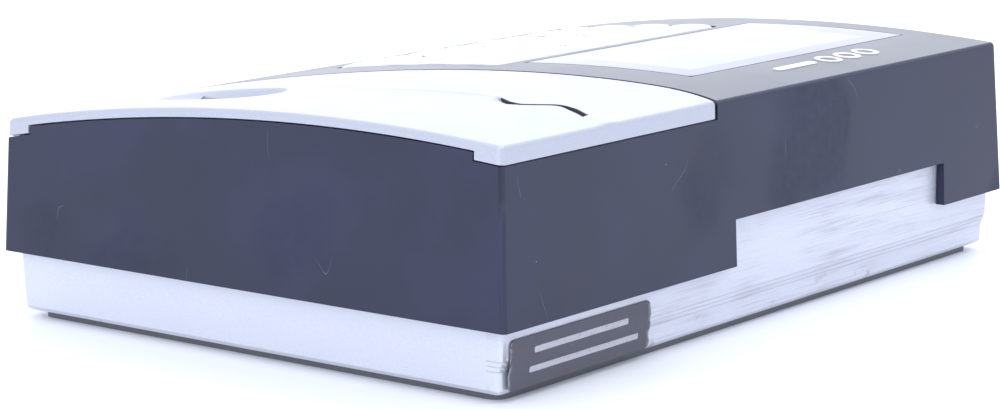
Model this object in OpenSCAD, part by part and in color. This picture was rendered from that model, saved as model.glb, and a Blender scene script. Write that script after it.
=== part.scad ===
// Fingerprint scanner terminal, lying on its wall plate.
// +X is the terminal's right, +Y is its top and +Z comes out of its front.
// The origin is the middle of the footprint, on the wall face of the plate.

/* [Overall size] */
// Length along the wall, at the front housing's rim
body_l = 195; // [160:0.5:240]
// Height up the wall, at the front housing's rim
body_w = 133.6; // [110:0.1:162]
// Distance from the wall to the crown of the domed front
crown_h = 51.3; // [42:0.1:62]
// Radius of the domed front, which bends round an axis along X
dome_r = 479.7; // [380:0.1:600]
// Height of the crown above the middle of the terminal
dome_y = 25; // [0:0.5:30]

/* [Front housing] */
// Thickness of the side walls
wall = 3; // [2.4:0.1:3.6]
// Thickness of the domed top
top_t = 2.8; // [2.4:0.1:3.4]
// Thickness of the deck that carries the sensor cover
deck_t = 2; // [1.6:0.1:2.4]
// Height of the rim above the wall
rim_z = 14.5; // [12:0.1:17.4]
// Radius of the upright corners
corner_r = 1; // [0.6:0.2:3]
// Lean of the right, top and bottom, and left sides, in mm for each mm of height
lean_right = 0.033; // [0:0.001:0.05]
lean_top = 0.044; // [0:0.001:0.05]
lean_left = 0.065; // [0:0.001:0.07]
// Length and height of the notch in the top wall and of its twin in the bottom wall
notch_l = 87.8; // [73:0.1:100]
notch_h = 9.8; // [8:0.1:11.8]
// Distance from the left end to the notches
notch_inset = 27.8; // [23:0.1:33]

/* [Rear case] */
// Inset of the rear case behind the rim
case_inset = 2.4; // [2.2:0.1:3.2]
// Thickness of the rear case's walls
case_wall = 2.5; // [2:0.1:3]
// Thickness of the rear case's floor
floor_t = 2.5; // [2:0.1:3]
// Height of the wall inside the front housing, above the rim
lip_h = 13.6; // [12.4:0.1:16]
// Lean of the wall below the rim
case_lean = 0.04; // [0:0.01:0.05]
// Depth and pitch of the three fine steps along the top wall
step_d = 0.35; // [0.2:0.05:0.42]
step_pitch = 1; // [0.8:0.05:1.2]
// Height of the highest step above the floor's outside
step_z = 6.8; // [5.6:0.1:8]
// Chamfer round the floor's outside
floor_chamfer = 0.9; // [0.5:0.1:1.2]

/* [Wall plate] */
// Thickness of the steel wall plate
plate_t = 1.6; // [1.3:0.1:2]
// Gap between the plate's edges and the inside of the rear case's walls
plate_edge = 0.6; // [0.5:0.1:1]
// Distance from the plate's bottom edge to the middle of its screws and hooks
mount_rise = 50; // [43:0.5:50.5]
// Spacing of the wall screws
wall_screw_x = 120; // [100:1:130]
wall_screw_y = 60; // [50:1:72]
// Diameter of the holes for the wall screws
wall_hole_d = 4.5; // [3.8:0.1:5.4]
// Diameter and depth of the rear case's pockets over the wall screws' heads
head_pocket_d = 10; // [8.4:0.1:12]
head_pocket_h = 3.6; // [3:0.1:4.3]
// Length and height of the wiring opening in the rear case
bay_l = 66; // [55:1:70]
bay_w = 38; // [32:1:42]
// Steel left round the plate's wiring opening, inside the bay
bay_land = 3; // [2.5:0.5:4]

/* [Display] */
// Height of the display lens
lens_w = 41.6; // [35:0.1:50]
// Distance from the left end to the lens's top left corner
lens_inset = 12.1; // [10:0.1:14]
// Thickness of the lens
lens_t = 1.8; // [1.4:0.1:2]
// Width of the ledge behind the lens
lens_ledge = 3.2; // [2.6:0.1:4]
// Thickness of the display panel and its metal frame
panel_t = 3; // [2.5:0.1:3.6]

/* [Keypad] */
// Key pitch along X and along Y
key_px = 22.2; // [18.5:0.1:26.6]
key_py = 11.9; // [9.9:0.1:14.3]
// Keys in a row, and rows of keys
key_cols = 4; // [4]
key_rows = 4; // [4]
// Distance from the left end to the first key
pad_inset = 23.1; // [19.3:0.1:27]
// Strip between the lens and the keypad
pad_strip = 2.5; // [2:0.1:3]
// Gap between neighbouring keys
key_gap = 0.5; // [0.4:0.05:0.6]
// Corner radius of a key
key_r = 2.2; // [1.8:0.1:2.6]
// Height of the keys above the dome
key_proud = 0.8; // [0.6:0.1:1]
// Depth of a key below the dome
key_depth = 3.4; // [2.8:0.1:4]
// Travel of a key
key_travel = 1; // [0.8:0.1:1.2]
// Thickness of the silicone mat
mat_t = 1; // [0.8:0.1:1.2]

/* [Sensor cover] */
// Thickness of the cover over most of the dome
cover_t = 1.9; // [1.6:0.1:2.3]
// Thickness of its thicker top and bottom edges
cover_edge_t = 3.6; // [3:0.1:4.3]
// Width of those edges
cover_edge_w = 6.4; // [5.3:0.1:7.7]
// Strip between the keypad and the cover's left edge
cover_strip = 4.9; // [4:0.1:5.9]
// Strip between the lens and the cover's left edge
lens_strip = 14.7; // [12.2:0.1:17.6]
// Radius of the cover's left edge beside the keypad
edge_r_low = 260; // [217:1:312]
// Radius of the cover's left edge towards the top
edge_r_top = 40; // [33:1:48]
// Distance of the fingerprint sensor below the middle of the terminal
sensor_drop = 30; // [25:0.5:31]
// Radius of the finger groove
groove_r = 11; // [9.2:0.1:13.2]
// Depth of the finger groove below the dome
groove_d = 4.6; // [3.8:0.1:5.5]
// Length of the finger groove between the middles of its round ends
groove_l = 14; // [11.6:0.1:16.8]
// Distance of the finger groove from the right end
groove_inset = 26.5; // [22:0.1:31.8]
// Thickness of the groove's wall
groove_t = 2; // [1.7:0.1:2.4]

/* [Fingerprint sensor] */
// Length and width of the sensor glass
glass_x = 13; // [10.8:0.1:14]
glass_y = 18; // [15:0.1:20]
// Depth of the sensor glass
glass_t = 8; // [6.7:0.1:9]
// Height of the optics frame
optics_h = 14; // [12:0.1:15]
// Wall of the optics frame
optics_wall = 4; // [3.4:0.1:4.8]

/* [Main board] */
// Height of the main board's back above the wall
board_z = 17; // [15.5:0.1:19]
// Thickness of every circuit board
board_t = 1.6; // [1.2:0.1:2]
// Length of the main board
board_l = 90; // [75:0.1:94]
// Width of the main board
board_w = 104; // [87:0.1:106]
// Distance of the main board from the rear case's bottom wall
board_gap = 2.1; // [1.7:0.1:2.5]

/* [Screws and fits] */
// Diameter and length of the case screws
screw_d = 3; // [2.5:0.1:3.4]
screw_l = 14; // [12:0.5:16]
// Distance of the case screws from the rear case's walls
screw_inset = 8; // [7:0.1:9.5]
// Gap round the sensor cover, and under it
cover_gap = 0.3; // [0.25:0.05:0.4]
// Gap round the lens
lens_gap = 0.2; // [0.15:0.05:0.3]
// Gap between the rear case and the front housing
case_gap = 0.2; // [0.15:0.05:0.3]
// Gap round the keypad as a whole
pad_gap = 0.35; // [0.3:0.05:0.45]
// Running clearance of a plunger in its guide
plunger_gap = 0.08; // [0.05:0.01:0.1]
// Clearance round the sensor glass
glass_gap = 0.3; // [0.25:0.05:0.4]

/* [Hidden] */
$fn = 96;
fine = 360;
far = 400;
eps = 0.01;

// Heights
case_top_z = rim_z + lip_h;
floor_z = plate_t + floor_t;
notch_z = rim_z + notch_h;
cover_drop = cover_edge_t + cover_gap + deck_t;

// The dome's height above the wall at a given Y, for a surface a given depth below it
function dome_z(y, drop = 0) =
    crown_h - dome_r + sqrt(pow(dome_r - drop, 2) - pow(y - dome_y, 2));

// The rear case's footprint at the rim
case_l = body_l - 2 * case_inset;
case_w = body_w - 2 * case_inset;
case_in_y = case_w / 2 - case_wall;

// The block of lens and keypad is centred between the top and the bottom
pad_l = key_cols * key_px;
pad_w = key_rows * key_py;
lens_top = (lens_w + pad_strip + pad_w) / 2;
lens_low = lens_top - lens_w;
pad_top = lens_low - pad_strip;
pad_x = -body_l / 2 + pad_inset + pad_l / 2;
pad_y = pad_top - pad_w / 2;
pad_tilt = asin((dome_y - pad_y) / dome_r);

// The cover's left edge: its leftmost point, where its two arcs meet
edge_x = pad_x + pad_l / 2 + cover_strip;
edge_y = lens_top;
edge_cx = edge_x + edge_r_low;
lens_l = edge_x - lens_strip + body_l / 2 - lens_inset;
lens_cx = edge_x - lens_strip - lens_l / 2;
lens_cy = lens_top - lens_w / 2;

// The notches, and the openings in the bottom wall
notch_x = -body_l / 2 + notch_inset + notch_l / 2;
usb_x = notch_x + 12;
usb_l = 13.2;
usb_h = 7;
usb_depth = 14;
reset_x = notch_x + 32;
reset_z = board_z - 3;
pinhole_d = 2.2;
speaker_r = 13;
speaker_x = notch_x - notch_l / 2 + speaker_r + 1.5;
speaker_t = 5;
speaker_z = floor_z + speaker_r + 0.6;
slot_l = 2;
slot_pitch = 4;
slot_count = 5;

// The finger groove and what lies under it
sensor_x = body_l / 2 - groove_inset;
sensor_y = -sensor_drop;
groove_top_y = sensor_y + groove_l / 2;
groove_low_y = groove_top_y - groove_l;
groove_z = dome_z(sensor_y) - groove_d;
light_y = groove_top_y + groove_r + 8;
optics_x = glass_x + 2 * glass_gap + 3 * optics_wall;
optics_y = glass_y + 2 * glass_gap + 4 * optics_wall;
optics_top = dome_z(sensor_y - optics_y / 2) - cover_drop - 0.3;
optics_low = optics_top - optics_h;
ear_x = groove_r + groove_t + 3.8;
ear_r = 3.4;
ear_t = 3;

// The main board
board_y0 = -case_in_y + board_gap;
board_x0 = notch_x - 14;
board_top = board_z + board_t;
bay_x = board_x0 + board_l / 2 + 6;
bay_y = board_y0 + bay_w / 2 + 18;
jack_y = bay_y + bay_w / 2 - 3;
jack_h = board_z - floor_z - 0.1;
post_in = 4;
post_r = 3;
board_post_x = [board_x0 + post_in, board_x0 + board_l - post_in];
board_post_y = [board_y0 + post_in, board_y0 + board_w - post_in];
tamper_x = board_x0 + board_l - 16;
tamper_y = board_y0 + board_w - 14;
plunger_r = 1.5;
plunger_rest = 0.1;
switch_h = 4;
plunger_in = 1;
reset_r = 1.2;

// The keypad stack, measured down from the dome in the keypad's tilted frame
stem_h = 2;
mat_z = -key_depth - stem_h - key_travel - 0.15;
pad_board_z = mat_z - mat_t - board_t;
pad_post_x = pad_l / 2 + 4.2;
pad_post_y = pad_w / 2 - 6;
pad_margin = 7.5;

// The display stack, measured from the wall
panel_z = dome_z(lens_low, top_t) - 0.3 - panel_t;
frame_wall = 1.2;
panel_l = lens_l - 10;
panel_w = lens_w - 6;
display_board_z = panel_z - 0.6 - board_t;

// Screws and posts
screw_x = case_l / 2 - case_wall - screw_inset;
screw_y = case_in_y - screw_inset;
screw_posts = [for (x = [-screw_x, screw_x]) for (y = [-screw_y, screw_y]) [x, y]];
boss_r = 4.2;
pilot = 0.46;
case_post_h = 6;
head_d = 5.6;
head_depth = 2.4;

// The plate's hooks, its flange and the screw that locks the terminal to it

hook_l = 12;
hook_x = wall_screw_x / 2 - 16;
hook_y = mount_rise - 8;
hook_rise = 3.4;
hook_reach = 3;
flange_l = 20;
flange_h = 9;
flange_y = -case_in_y + plate_edge;
plate_l = case_l - 2 * case_wall - 2 * plate_edge;
plate_w = -2 * flange_y;
mount_y = flange_y + mount_rise;
flange_x = notch_x - 6;
lock_z = plate_t + 4.9;
lock_d = 3;

// The blank label on the case's top wall, and the mark over the lens
label_l = 46.5;
label_w = 10.1;
label_t = 0.2;
label_x = case_l / 2 - 2 - label_l / 2;
label_z = plate_t + 0.6 + label_w / 2;
mark_x = lens_cx + 1;
mark_y = lens_top + 7.4;
mark_t = 0.35;
mark_proud = 0.1;

// ---- helpers ----

// Lay a YZ section along X
module along_x(l) {
    rotate([90, 0, 90])
        linear_extrude(l, center = true)
            children();
}

// Lay an XZ section along Y
module along_y(l) {
    rotate([90, 0, 0])
        linear_extrude(l, center = true)
            children();
}

module rounded_rect(l, w, r) {
    square([l - 2 * r, w], center = true);
    square([l, w - 2 * r], center = true);
    for (x = [-1, 1])
        for (y = [-1, 1])
            translate([x * (l / 2 - r), y * (w / 2 - r)])
                circle(r);
}

module block(l, w, h) {
    translate([-l / 2, -w / 2, 0])
        cube([l, w, h]);
}

module rounded_block(l, w, h, r) {
    linear_extrude(h)
        rounded_rect(l, w, r);
}

// Everything above the dome, or above a surface a given depth below it
module above_dome(drop = 0) {
    difference() {
        block(far, far, crown_h + 20);
        translate([0, dome_y, crown_h - dome_r])
            rotate([0, 90, 0])
                cylinder(r = dome_r - drop, h = far + 2, center = true, $fn = fine);
    }
}

// The solid under the dome, with leaning sides, from the rim up
module housing_form(inset = 0, drop = 0, low = rim_z) {
    z1 = crown_h + 2;
    rise = z1 - rim_z;
    w = body_w / 2 - inset;
    l = body_l / 2 - inset;
    intersection() {
        along_x(far)
            intersection() {
                polygon([[-w, low], [w, low], [w, rim_z], [w - lean_top * rise, z1],
                         [-w + lean_top * rise, z1], [-w, rim_z]]);
                translate([dome_y, crown_h - dome_r])
                    circle(dome_r - drop, $fn = fine);
            }
        along_y(far)
            polygon([[-l, low], [l, low], [l, rim_z], [l - lean_right * rise, z1],
                     [-l + lean_left * rise, z1], [-l, rim_z]]);
        rounded_block(2 * l, 2 * w, z1, max(corner_r - inset, 0.8));
    }
}

// The sensor cover's outline on the wall, grown by a gap
module cover_area(grow = 0) {
    intersection() {
        translate([edge_cx, edge_y])
            circle(edge_r_low + grow, $fn = fine);
        translate([0, edge_y - far / 2])
            square(far, center = true);
        translate([edge_x - grow + far / 2, 0])
            square(far, center = true);
    }
    intersection() {
        translate([edge_x + edge_r_top, edge_y])
            circle(edge_r_top + grow, $fn = fine);
        translate([edge_x - grow, edge_y - eps])
            square(far / 2);
    }
    translate([edge_x + edge_r_top, edge_y - eps])
        square([far / 2, far / 2]);
}

module cover_column(grow = 0) {
    linear_extrude(crown_h + 20)
        cover_area(grow);
}

// The bands along the cover's top and bottom edges
module edge_bands(gap = 0) {
    for (side = [-1, 1])
        translate([0, side * (body_w / 2 - lean_top * (crown_h - rim_z) - cover_edge_w - gap + far / 2), 0])
            block(far, far, crown_h + 20);
}

// The space that the cover takes from the dome, with a gap round and under it
module cover_space(gap = 0) {
    intersection() {
        cover_column(gap);
        union() {
            above_dome(cover_t + gap);
            intersection() {
                above_dome(cover_edge_t + gap);
                edge_bands(gap);
            }
        }
    }
}

// A finger-shaped groove with round ends
module groove(r) {
    translate([sensor_x, groove_low_y, groove_z + groove_r]) {
        rotate([-90, 0, 0])
            cylinder(r = r, h = groove_l);
        sphere(r);
        translate([0, groove_l, 0])
            sphere(r);
    }
}

// The lens's outline, between two arcs that follow the cover's edge
module lens_area(grow = 0) {
    intersection() {
        translate([lens_cx, lens_cy])
            square([2 * lens_l, lens_w + 2 * grow], center = true);
        translate([edge_cx - edge_r_low - lens_strip - far / 2 + 20, edge_y])
            square([far, far], center = true);
        difference() {
            translate([edge_cx, edge_y])
                circle(edge_r_low + lens_strip + lens_l + grow, $fn = fine);
            translate([edge_cx, edge_y])
                circle(edge_r_low + lens_strip - grow, $fn = fine);
        }
    }
}

// Put something in the keypad's frame, which lies on the dome at the keypad's middle
module on_pad() {
    translate([pad_x, pad_y, dome_z(pad_y)])
        rotate([pad_tilt, 0, 0])
            children();
}

module case_screw_places() {
    for (p = screw_posts)
        translate([p[0], p[1], 0])
            children();
}

module wall_screw_places() {
    for (x = [-1, 1])
        for (y = [-1, 1])
            translate([x * wall_screw_x / 2, mount_y + y * wall_screw_y / 2, 0])
                children();
}

module board_post_places() {
    for (x = board_post_x)
        for (y = board_post_y)
            translate([x, y, 0])
                children();
}

module pad_post_places() {
    for (x = [-pad_post_x, pad_post_x])
        for (y = [-pad_post_y, pad_post_y])
            translate([x, y, 0])
                children();
}

module display_post_places() {
    for (x = [-1, 1])
        translate([lens_cx + x * (panel_l / 2 + 4.5), lens_cy, 0])
            children();
}

module ear_places() {
    for (x = [-ear_x, ear_x])
        translate([sensor_x + x, sensor_y, 0])
            children();
}

module light_places() {
    for (x = [-7, 7])
        translate([sensor_x + x, light_y, 0])
            children();
}

// A pan-head screw that points up, with its head's underside at the origin
module screw(d, l, head) {
    cylinder(d = d - 0.3, h = l);
    translate([0, 0, -0.6 * d])
        difference() {
            cylinder(d = head, h = 0.6 * d);
            translate([0, 0, -eps])
                block(head * 0.6, 0.6, 0.8);
            translate([0, 0, -eps])
                block(0.6, head * 0.6, 0.8);
        }
}

// Speaker slots through the bottom wall
module speaker_slots() {
    for (k = [0:slot_count - 1])
        translate([speaker_x + (k - (slot_count - 1) / 2) * slot_pitch, -body_w / 2, speaker_z - 5])
            block(slot_l, 4 * case_inset + 4, 10);
}

// ---- casings ----

module wall_plate() {
    color([0.32, 0.33, 0.35]) {
        difference() {
            rounded_block(plate_l, plate_w, plate_t, 3);
            translate([bay_x, bay_y, -1])
                rounded_block(bay_l - 2 * bay_land, bay_w - 2 * bay_land, plate_t + 2, 3);
            wall_screw_places()
                translate([0, 0, -1])
                    cylinder(d = wall_hole_d, h = plate_t + 2);
        }
        translate([flange_x, flange_y + plate_t / 2, 0])
            difference() {
                block(flange_l, plate_t, flange_h);
                translate([0, 0, lock_z])
                    rotate([90, 0, 0])
                        cylinder(d = lock_d - 0.5, h = 3 * plate_t, center = true);
            }
        for (x = [-hook_x, hook_x])
            translate([x, mount_y + hook_y, 0]) {
                block(hook_l, plate_t, floor_z + hook_rise);
                translate([0, hook_reach / 2, floor_z + hook_rise - plate_t])
                    block(hook_l, hook_reach + plate_t, plate_t);
            }
    }
}

// The rear case's outside, with the fine steps along its top wall
module rear_case_form() {
    w = case_w / 2;
    l = case_l / 2;
    foot = case_lean * (rim_z - plate_t);
    z0 = plate_t;
    s = plate_t + step_z;
    intersection() {
        along_x(far)
            polygon(concat(
                [[-w + foot + floor_chamfer, z0], [w - 3 * step_d - floor_chamfer, z0],
                 [w - 3 * step_d, z0 + floor_chamfer]],
                [for (k = [2:-1:0]) each [[w - (k + 1) * step_d, s - k * step_pitch],
                                          [w - k * step_d, s - k * step_pitch]]],
                [[w, case_top_z], [-w, case_top_z], [-w, rim_z], [-w + foot, z0 + floor_chamfer]]));
        along_y(far)
            polygon([[-l + foot + floor_chamfer, z0], [l - foot - floor_chamfer, z0],
                     [l - foot, z0 + floor_chamfer], [l, rim_z], [l, case_top_z],
                     [-l, case_top_z], [-l, rim_z], [-l + foot, z0 + floor_chamfer]]);
        rounded_block(2 * l, 2 * w, case_top_z, corner_r);
    }
}

module rear_case() {
    color([0.78, 0.80, 0.85])
        difference() {
            union() {
                difference() {
                    rear_case_form();
                    translate([0, 0, floor_z])
                        rounded_block(case_l - 2 * case_wall, 2 * case_in_y, case_top_z, 1.5);
                }
                case_screw_places()
                    translate([0, 0, plate_t + eps])
                        cylinder(r = boss_r, h = floor_t + case_post_h);
                board_post_places()
                    translate([0, 0, plate_t + eps])
                        cylinder(r = post_r, h = board_z - plate_t - eps);
                wall_screw_places()
                    translate([0, 0, plate_t + eps])
                        cylinder(d = head_pocket_d + 3, h = head_pocket_h + 1.5);
                translate([tamper_x, tamper_y, plate_t + eps])
                    cylinder(r = 3.2, h = board_z - switch_h - plate_t - 1);
                translate([speaker_x, -case_in_y + speaker_t / 2 + 1, plate_t + eps])
                    block(2 * speaker_r + 4, speaker_t + 4, floor_t + 1.6);
            }
            case_screw_places() {
                cylinder(d = head_d + 0.6, h = plate_t + head_depth);
                cylinder(d = screw_d + 0.4, h = far);
            }
            board_post_places()
                translate([0, 0, floor_z + 3])
                    cylinder(d = 2.1, h = far);
            wall_screw_places()
                cylinder(d = head_pocket_d, h = plate_t + head_pocket_h);
            translate([tamper_x, tamper_y, 0])
                cylinder(r = plunger_r + plunger_gap, h = far);
            translate([bay_x, bay_y, -1])
                rounded_block(bay_l, bay_w, floor_z + 2, 3);
            for (x = [-hook_x, hook_x])
                translate([x, mount_y + hook_y + hook_reach / 2 + 1, 0])
                    block(hook_l + 1, hook_reach + plate_t + 4, floor_z + 1);
            translate([flange_x, flange_y + plate_t / 2, 0])
                block(flange_l + 1, plate_t + 0.8, floor_z + 2);
            translate([flange_x, -case_in_y, lock_z])
                rotate([90, 0, 0]) {
                    cylinder(d = lock_d + 0.4, h = 6 * case_wall, center = true);
                    translate([0, 0, case_wall - 1.5])
                        cylinder(d = 6.2, h = 10);
                }
            translate([usb_x, -case_w / 2, board_z - usb_h - 0.4])
                block(usb_l + 0.8, 4 * case_wall, usb_h + 0.8);
            translate([reset_x, -case_w / 2, reset_z])
                rotate([90, 0, 0])
                    cylinder(d = pinhole_d, h = 6 * case_wall, center = true);
            speaker_slots();
            translate([speaker_x, -case_in_y + eps, speaker_z])
                rotate([-90, 0, 0])
                    cylinder(r = speaker_r + 0.15, h = speaker_t + 0.15);
        }
}

module front_housing() {
    color([0.16, 0.17, 0.21])
        difference() {
            union() {
                difference() {
                    housing_form();
                    difference() {
                        housing_form(wall, top_t, rim_z - 5);
                        cover_column(deck_t + cover_gap);
                    }
                    housing_form(wall, cover_drop, rim_z - 5);
                    translate([0, 0, rim_z - 1])
                        rounded_block(case_l + 2 * case_gap, case_w + 2 * case_gap,
                                      lip_h + 1.4, corner_r);
                    translate([0, 0, panel_z - 20])
                        linear_extrude(far)
                            lens_area(-lens_ledge);
                    intersection() {
                        above_dome(lens_t);
                        linear_extrude(far)
                            lens_area(lens_gap);
                    }
                    on_pad()
                        translate([0, 0, -20])
                            rounded_block(pad_l - key_gap + 2 * pad_gap,
                                          pad_w - key_gap + 2 * pad_gap, 40, key_r + pad_gap);
                    for (side = [-1, 1])
                        translate([notch_x, side * body_w / 2, 0])
                            block(notch_l, 4 * wall, notch_z);
                    groove_slot();
                    hook_slots();
                }
                // posts that hang from the top
                intersection() {
                    housing_form(wall / 2, top_t / 2);
                    union() {
                        case_screw_places()
                            translate([0, 0, floor_z + case_post_h + 0.2])
                                cylinder(r = boss_r, h = far);
                        on_pad()
                            pad_post_places()
                                translate([0, 0, pad_board_z + board_t])
                                    cylinder(r = 2.6, h = -pad_board_z - board_t - 0.4 * top_t);
                        display_post_places()
                            translate([0, 0, display_board_z + board_t])
                                cylinder(r = 2.4, h = dome_z(lens_low, lens_t) - display_board_z
                                                      - board_t - 0.3);
                    }
                }
                intersection() {
                    housing_form(wall / 2, cover_drop - deck_t / 2);
                    ear_places()
                        translate([0, 0, optics_top])
                            cylinder(r = ear_r, h = far);
                }
            }
            case_screw_places()
                cylinder(r = screw_d * pilot, h = floor_z + head_depth + screw_l + 1);
            on_pad()
                pad_post_places()
                    translate([0, 0, pad_board_z])
                        cylinder(r = 0.9, h = 6);
            display_post_places()
                translate([0, 0, display_board_z])
                    cylinder(r = 0.9, h = 5);
            ear_places()
                translate([0, 0, optics_top - 1])
                    cylinder(r = 0.9, h = 5);
            light_places()
                cylinder(r = 1.5 + 0.25, h = far);
            front_mark_form(0);
            cover_space(cover_gap);
        }
}

// The opening in the deck that the cover's groove drops through
module groove_slot() {
    r = groove_r + groove_t + 0.4;
    translate([sensor_x, (groove_low_y + groove_top_y) / 2, crown_h - 24]) {
        block(2 * r, groove_l, 40);
        for (y = [-groove_l / 2, groove_l / 2])
            translate([0, y, 0])
                cylinder(r = r, h = 40);
    }
}

// Slots in the deck for the cover's hooks
hook_places = [for (y = [-0.42, 0.42]) for (x = [0.22, 0.6])
    [edge_x + 14 + x * (body_l / 2 - edge_x - 20), y * body_w]];

module hook_slots() {
    for (p = hook_places)
        translate([p[0], p[1], dome_z(p[1]) - cover_drop - 3])
            block(8.6, 3.4, cover_drop + 3);
}

module sensor_cover() {
    color([0.80, 0.82, 0.87])
        difference() {
            union() {
                intersection() {
                    housing_form();
                    cover_space();
                }
                intersection() {
                    housing_form(0, 0.5);
                    groove(groove_r + groove_t);
                }
                for (p = hook_places)
                    translate([p[0], p[1], 0]) {
                        translate([0, -0.5, dome_z(p[1]) - cover_drop - 1.6])
                            block(8, 1.6, cover_drop - cover_t + 2);
                        translate([0, 0.2, dome_z(p[1]) - cover_drop - 1.6])
                            block(8, 2.6, 1.2);
                    }
            }
            groove(groove_r);
            translate([sensor_x, sensor_y, optics_top - 5])
                block(glass_x + 2 * glass_gap, glass_y + 2 * glass_gap, 20);
            light_places()
                cylinder(r = 1.5 + plunger_gap, h = far);
        }
}

// ---- display ----

module display_lens() {
    color([0.62, 0.68, 0.72, 0.6])
        intersection() {
            housing_form();
            above_dome(lens_t);
            linear_extrude(far)
                lens_area();
        }
}

module display_panel() {
    color([0.45, 0.55, 0.50])
        translate([lens_cx, lens_cy, panel_z])
            block(panel_l - 2 * frame_wall, panel_w - 2 * frame_wall, panel_t - frame_wall);
}

module display_frame() {
    color([0.55, 0.56, 0.58])
        translate([lens_cx, lens_cy, panel_z])
            difference() {
                block(panel_l, panel_w, panel_t);
                translate([0, 0, -1])
                    block(panel_l - 2 * frame_wall, panel_w - 2 * frame_wall,
                          panel_t - frame_wall + 1);
                block(panel_l - 6 * frame_wall, panel_w - 6 * frame_wall, panel_t + 1);
            }
}

module display_board() {
    color([0.10, 0.35, 0.20])
        translate([lens_cx, lens_cy, display_board_z])
            difference() {
                union() {
                    block(panel_l, panel_w, board_t);
                    block(panel_l + 15, 12, board_t);
                    translate([0, 0, board_t])
                        block(panel_l - 12, panel_w - 8, 0.6);
                }
                for (x = [-1, 1])
                    translate([x * (panel_l / 2 + 4.5), 0, -1])
                        cylinder(r = 1.3, h = board_t + 2);
            }
}

// ---- keypad ----

module key(n) {
    col = (n - 1) % key_cols;
    row = floor((n - 1) / key_cols);
    color([0.80, 0.82, 0.86])
        on_pad()
            intersection() {
                translate([(col - (key_cols - 1) / 2) * key_px,
                           ((key_rows - 1) / 2 - row) * key_py, 0]) {
                    translate([0, 0, -key_depth])
                        rounded_block(key_px - key_gap, key_py - key_gap,
                                      key_depth + key_proud + 1, key_r);
                    translate([0, 0, -key_depth - stem_h])
                        cylinder(r = 2, h = stem_h + 1);
                }
                translate([0, 0, -dome_r])
                    rotate([0, 90, 0])
                        cylinder(r = dome_r + key_proud, h = far, center = true, $fn = fine);
            }
}

module keypad_mat() {
    color([0.30, 0.31, 0.33])
        on_pad()
            difference() {
                translate([0, 0, mat_z - mat_t])
                    rounded_block(pad_l + 2, pad_w + 2, mat_t, key_r);
                pad_post_places()
                    translate([0, 0, mat_z - mat_t - 1])
                        cylinder(r = 2.9, h = mat_t + 2);
            }
}

module keypad_board() {
    color([0.10, 0.35, 0.20])
        on_pad()
            difference() {
                translate([0, 0, pad_board_z])
                    rounded_block(pad_l + 2 * pad_margin, pad_w + 2, board_t, 2);
                pad_post_places()
                    translate([0, 0, pad_board_z - 1])
                        cylinder(r = 1.3, h = board_t + 2);
            }
}

// ---- main board and what it carries ----

module main_board() {
    color([0.10, 0.35, 0.20])
        difference() {
            translate([board_x0, board_y0, board_z])
                cube([board_l, board_w, board_t]);
            board_post_places()
                translate([0, 0, board_z - 1])
                    cylinder(r = 1.3, h = board_t + 2);
        }
}

module board_chips() {
    chips = [[38, 62, 14, 14, 1.4], [62, 62, 12, 18, 1.1], [38, 82, 18, 10, 1.1], [20, 30, 8, 6, 1.5]];
    color([0.09, 0.09, 0.10])
        for (c = chips)
            translate([board_x0 + c[0], board_y0 + c[1], board_top])
                block(c[2], c[3], c[4]);
}

module board_capacitors() {
    color([0.20, 0.25, 0.45])
        for (k = [0:2])
            translate([board_x0 + 62 + 9 * k, board_y0 + 24, board_top])
                cylinder(r = 3.2, h = 7.5);
}

module lock_relay() {
    color([0.15, 0.30, 0.65])
        translate([board_x0 + 42, board_y0 + 28, board_top])
            block(19, 10, 9);
}

module terminal_blocks() {
    ways = 4;
    pitch = 3.5;
    l = ways * pitch + 1;
    color([0.20, 0.55, 0.30])
        for (k = [0:1])
            translate([bay_x - bay_l / 2 + 2.3 + l / 2 + k * (l + 1.5), jack_y + 4.5, board_z - 8.5])
                difference() {
                    block(l, 9, 8.5);
                    for (i = [0:ways - 1])
                        translate([(i - (ways - 1) / 2) * pitch, -3, 2])
                            block(2.5, 6, 3);
                }
}

module network_jack() {
    color([0.70, 0.71, 0.73])
        translate([bay_x + bay_l / 2 - 13, jack_y + 10.5, board_z - jack_h])
            difference() {
                block(16, 21, jack_h);
                translate([0, -5.5 - eps, 1.6])
                    block(11.8, 10 + 2 * eps, 8);
            }
}

module power_inlet() {
    color([0.10, 0.10, 0.11])
        translate([bay_x + bay_l / 2 - 27, jack_y + 7, board_z - 11]) {
            difference() {
                block(9, 14, 11);
                translate([0, -7 - eps, 5.5])
                    rotate([-90, 0, 0])
                        cylinder(r = 3.2, h = 9);
            }
            translate([0, -6, 5.5])
                rotate([-90, 0, 0])
                    cylinder(r = 1, h = 9);
        }
}

module usb_socket() {
    color([0.72, 0.73, 0.75])
        translate([usb_x, -case_in_y + usb_depth / 2, board_z - usb_h]) {
            difference() {
                block(usb_l, usb_depth, usb_h);
                translate([0, -1, 0.5])
                    block(usb_l - 1, usb_depth - 2 + 2 * eps, usb_h - 1);
            }
            translate([0, 0, usb_h - 3.2])
                block(usb_l - 2.4, usb_depth - 3, 1.9);
        }
}

module clock_battery() {
    color([0.75, 0.76, 0.78])
        translate([board_x0 + 16, board_y0 + 76, board_top + 1])
            cylinder(r = 10, h = 3.2);
}

module battery_holder() {
    color([0.10, 0.10, 0.11])
        translate([board_x0 + 16, board_y0 + 76, board_top])
            difference() {
                cylinder(r = 11.5, h = 4.6);
                translate([0, 0, 1])
                    cylinder(r = 10.1, h = 10);
                translate([0, 0, 2])
                    block(8, 40, 10);
            }
}

module buzzer() {
    color([0.10, 0.10, 0.11])
        translate([board_x0 + 14, board_y0 + 52, board_top])
            difference() {
                cylinder(r = 6, h = 7);
                translate([0, 0, 5])
                    cylinder(r = 1, h = 3);
            }
}

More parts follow.
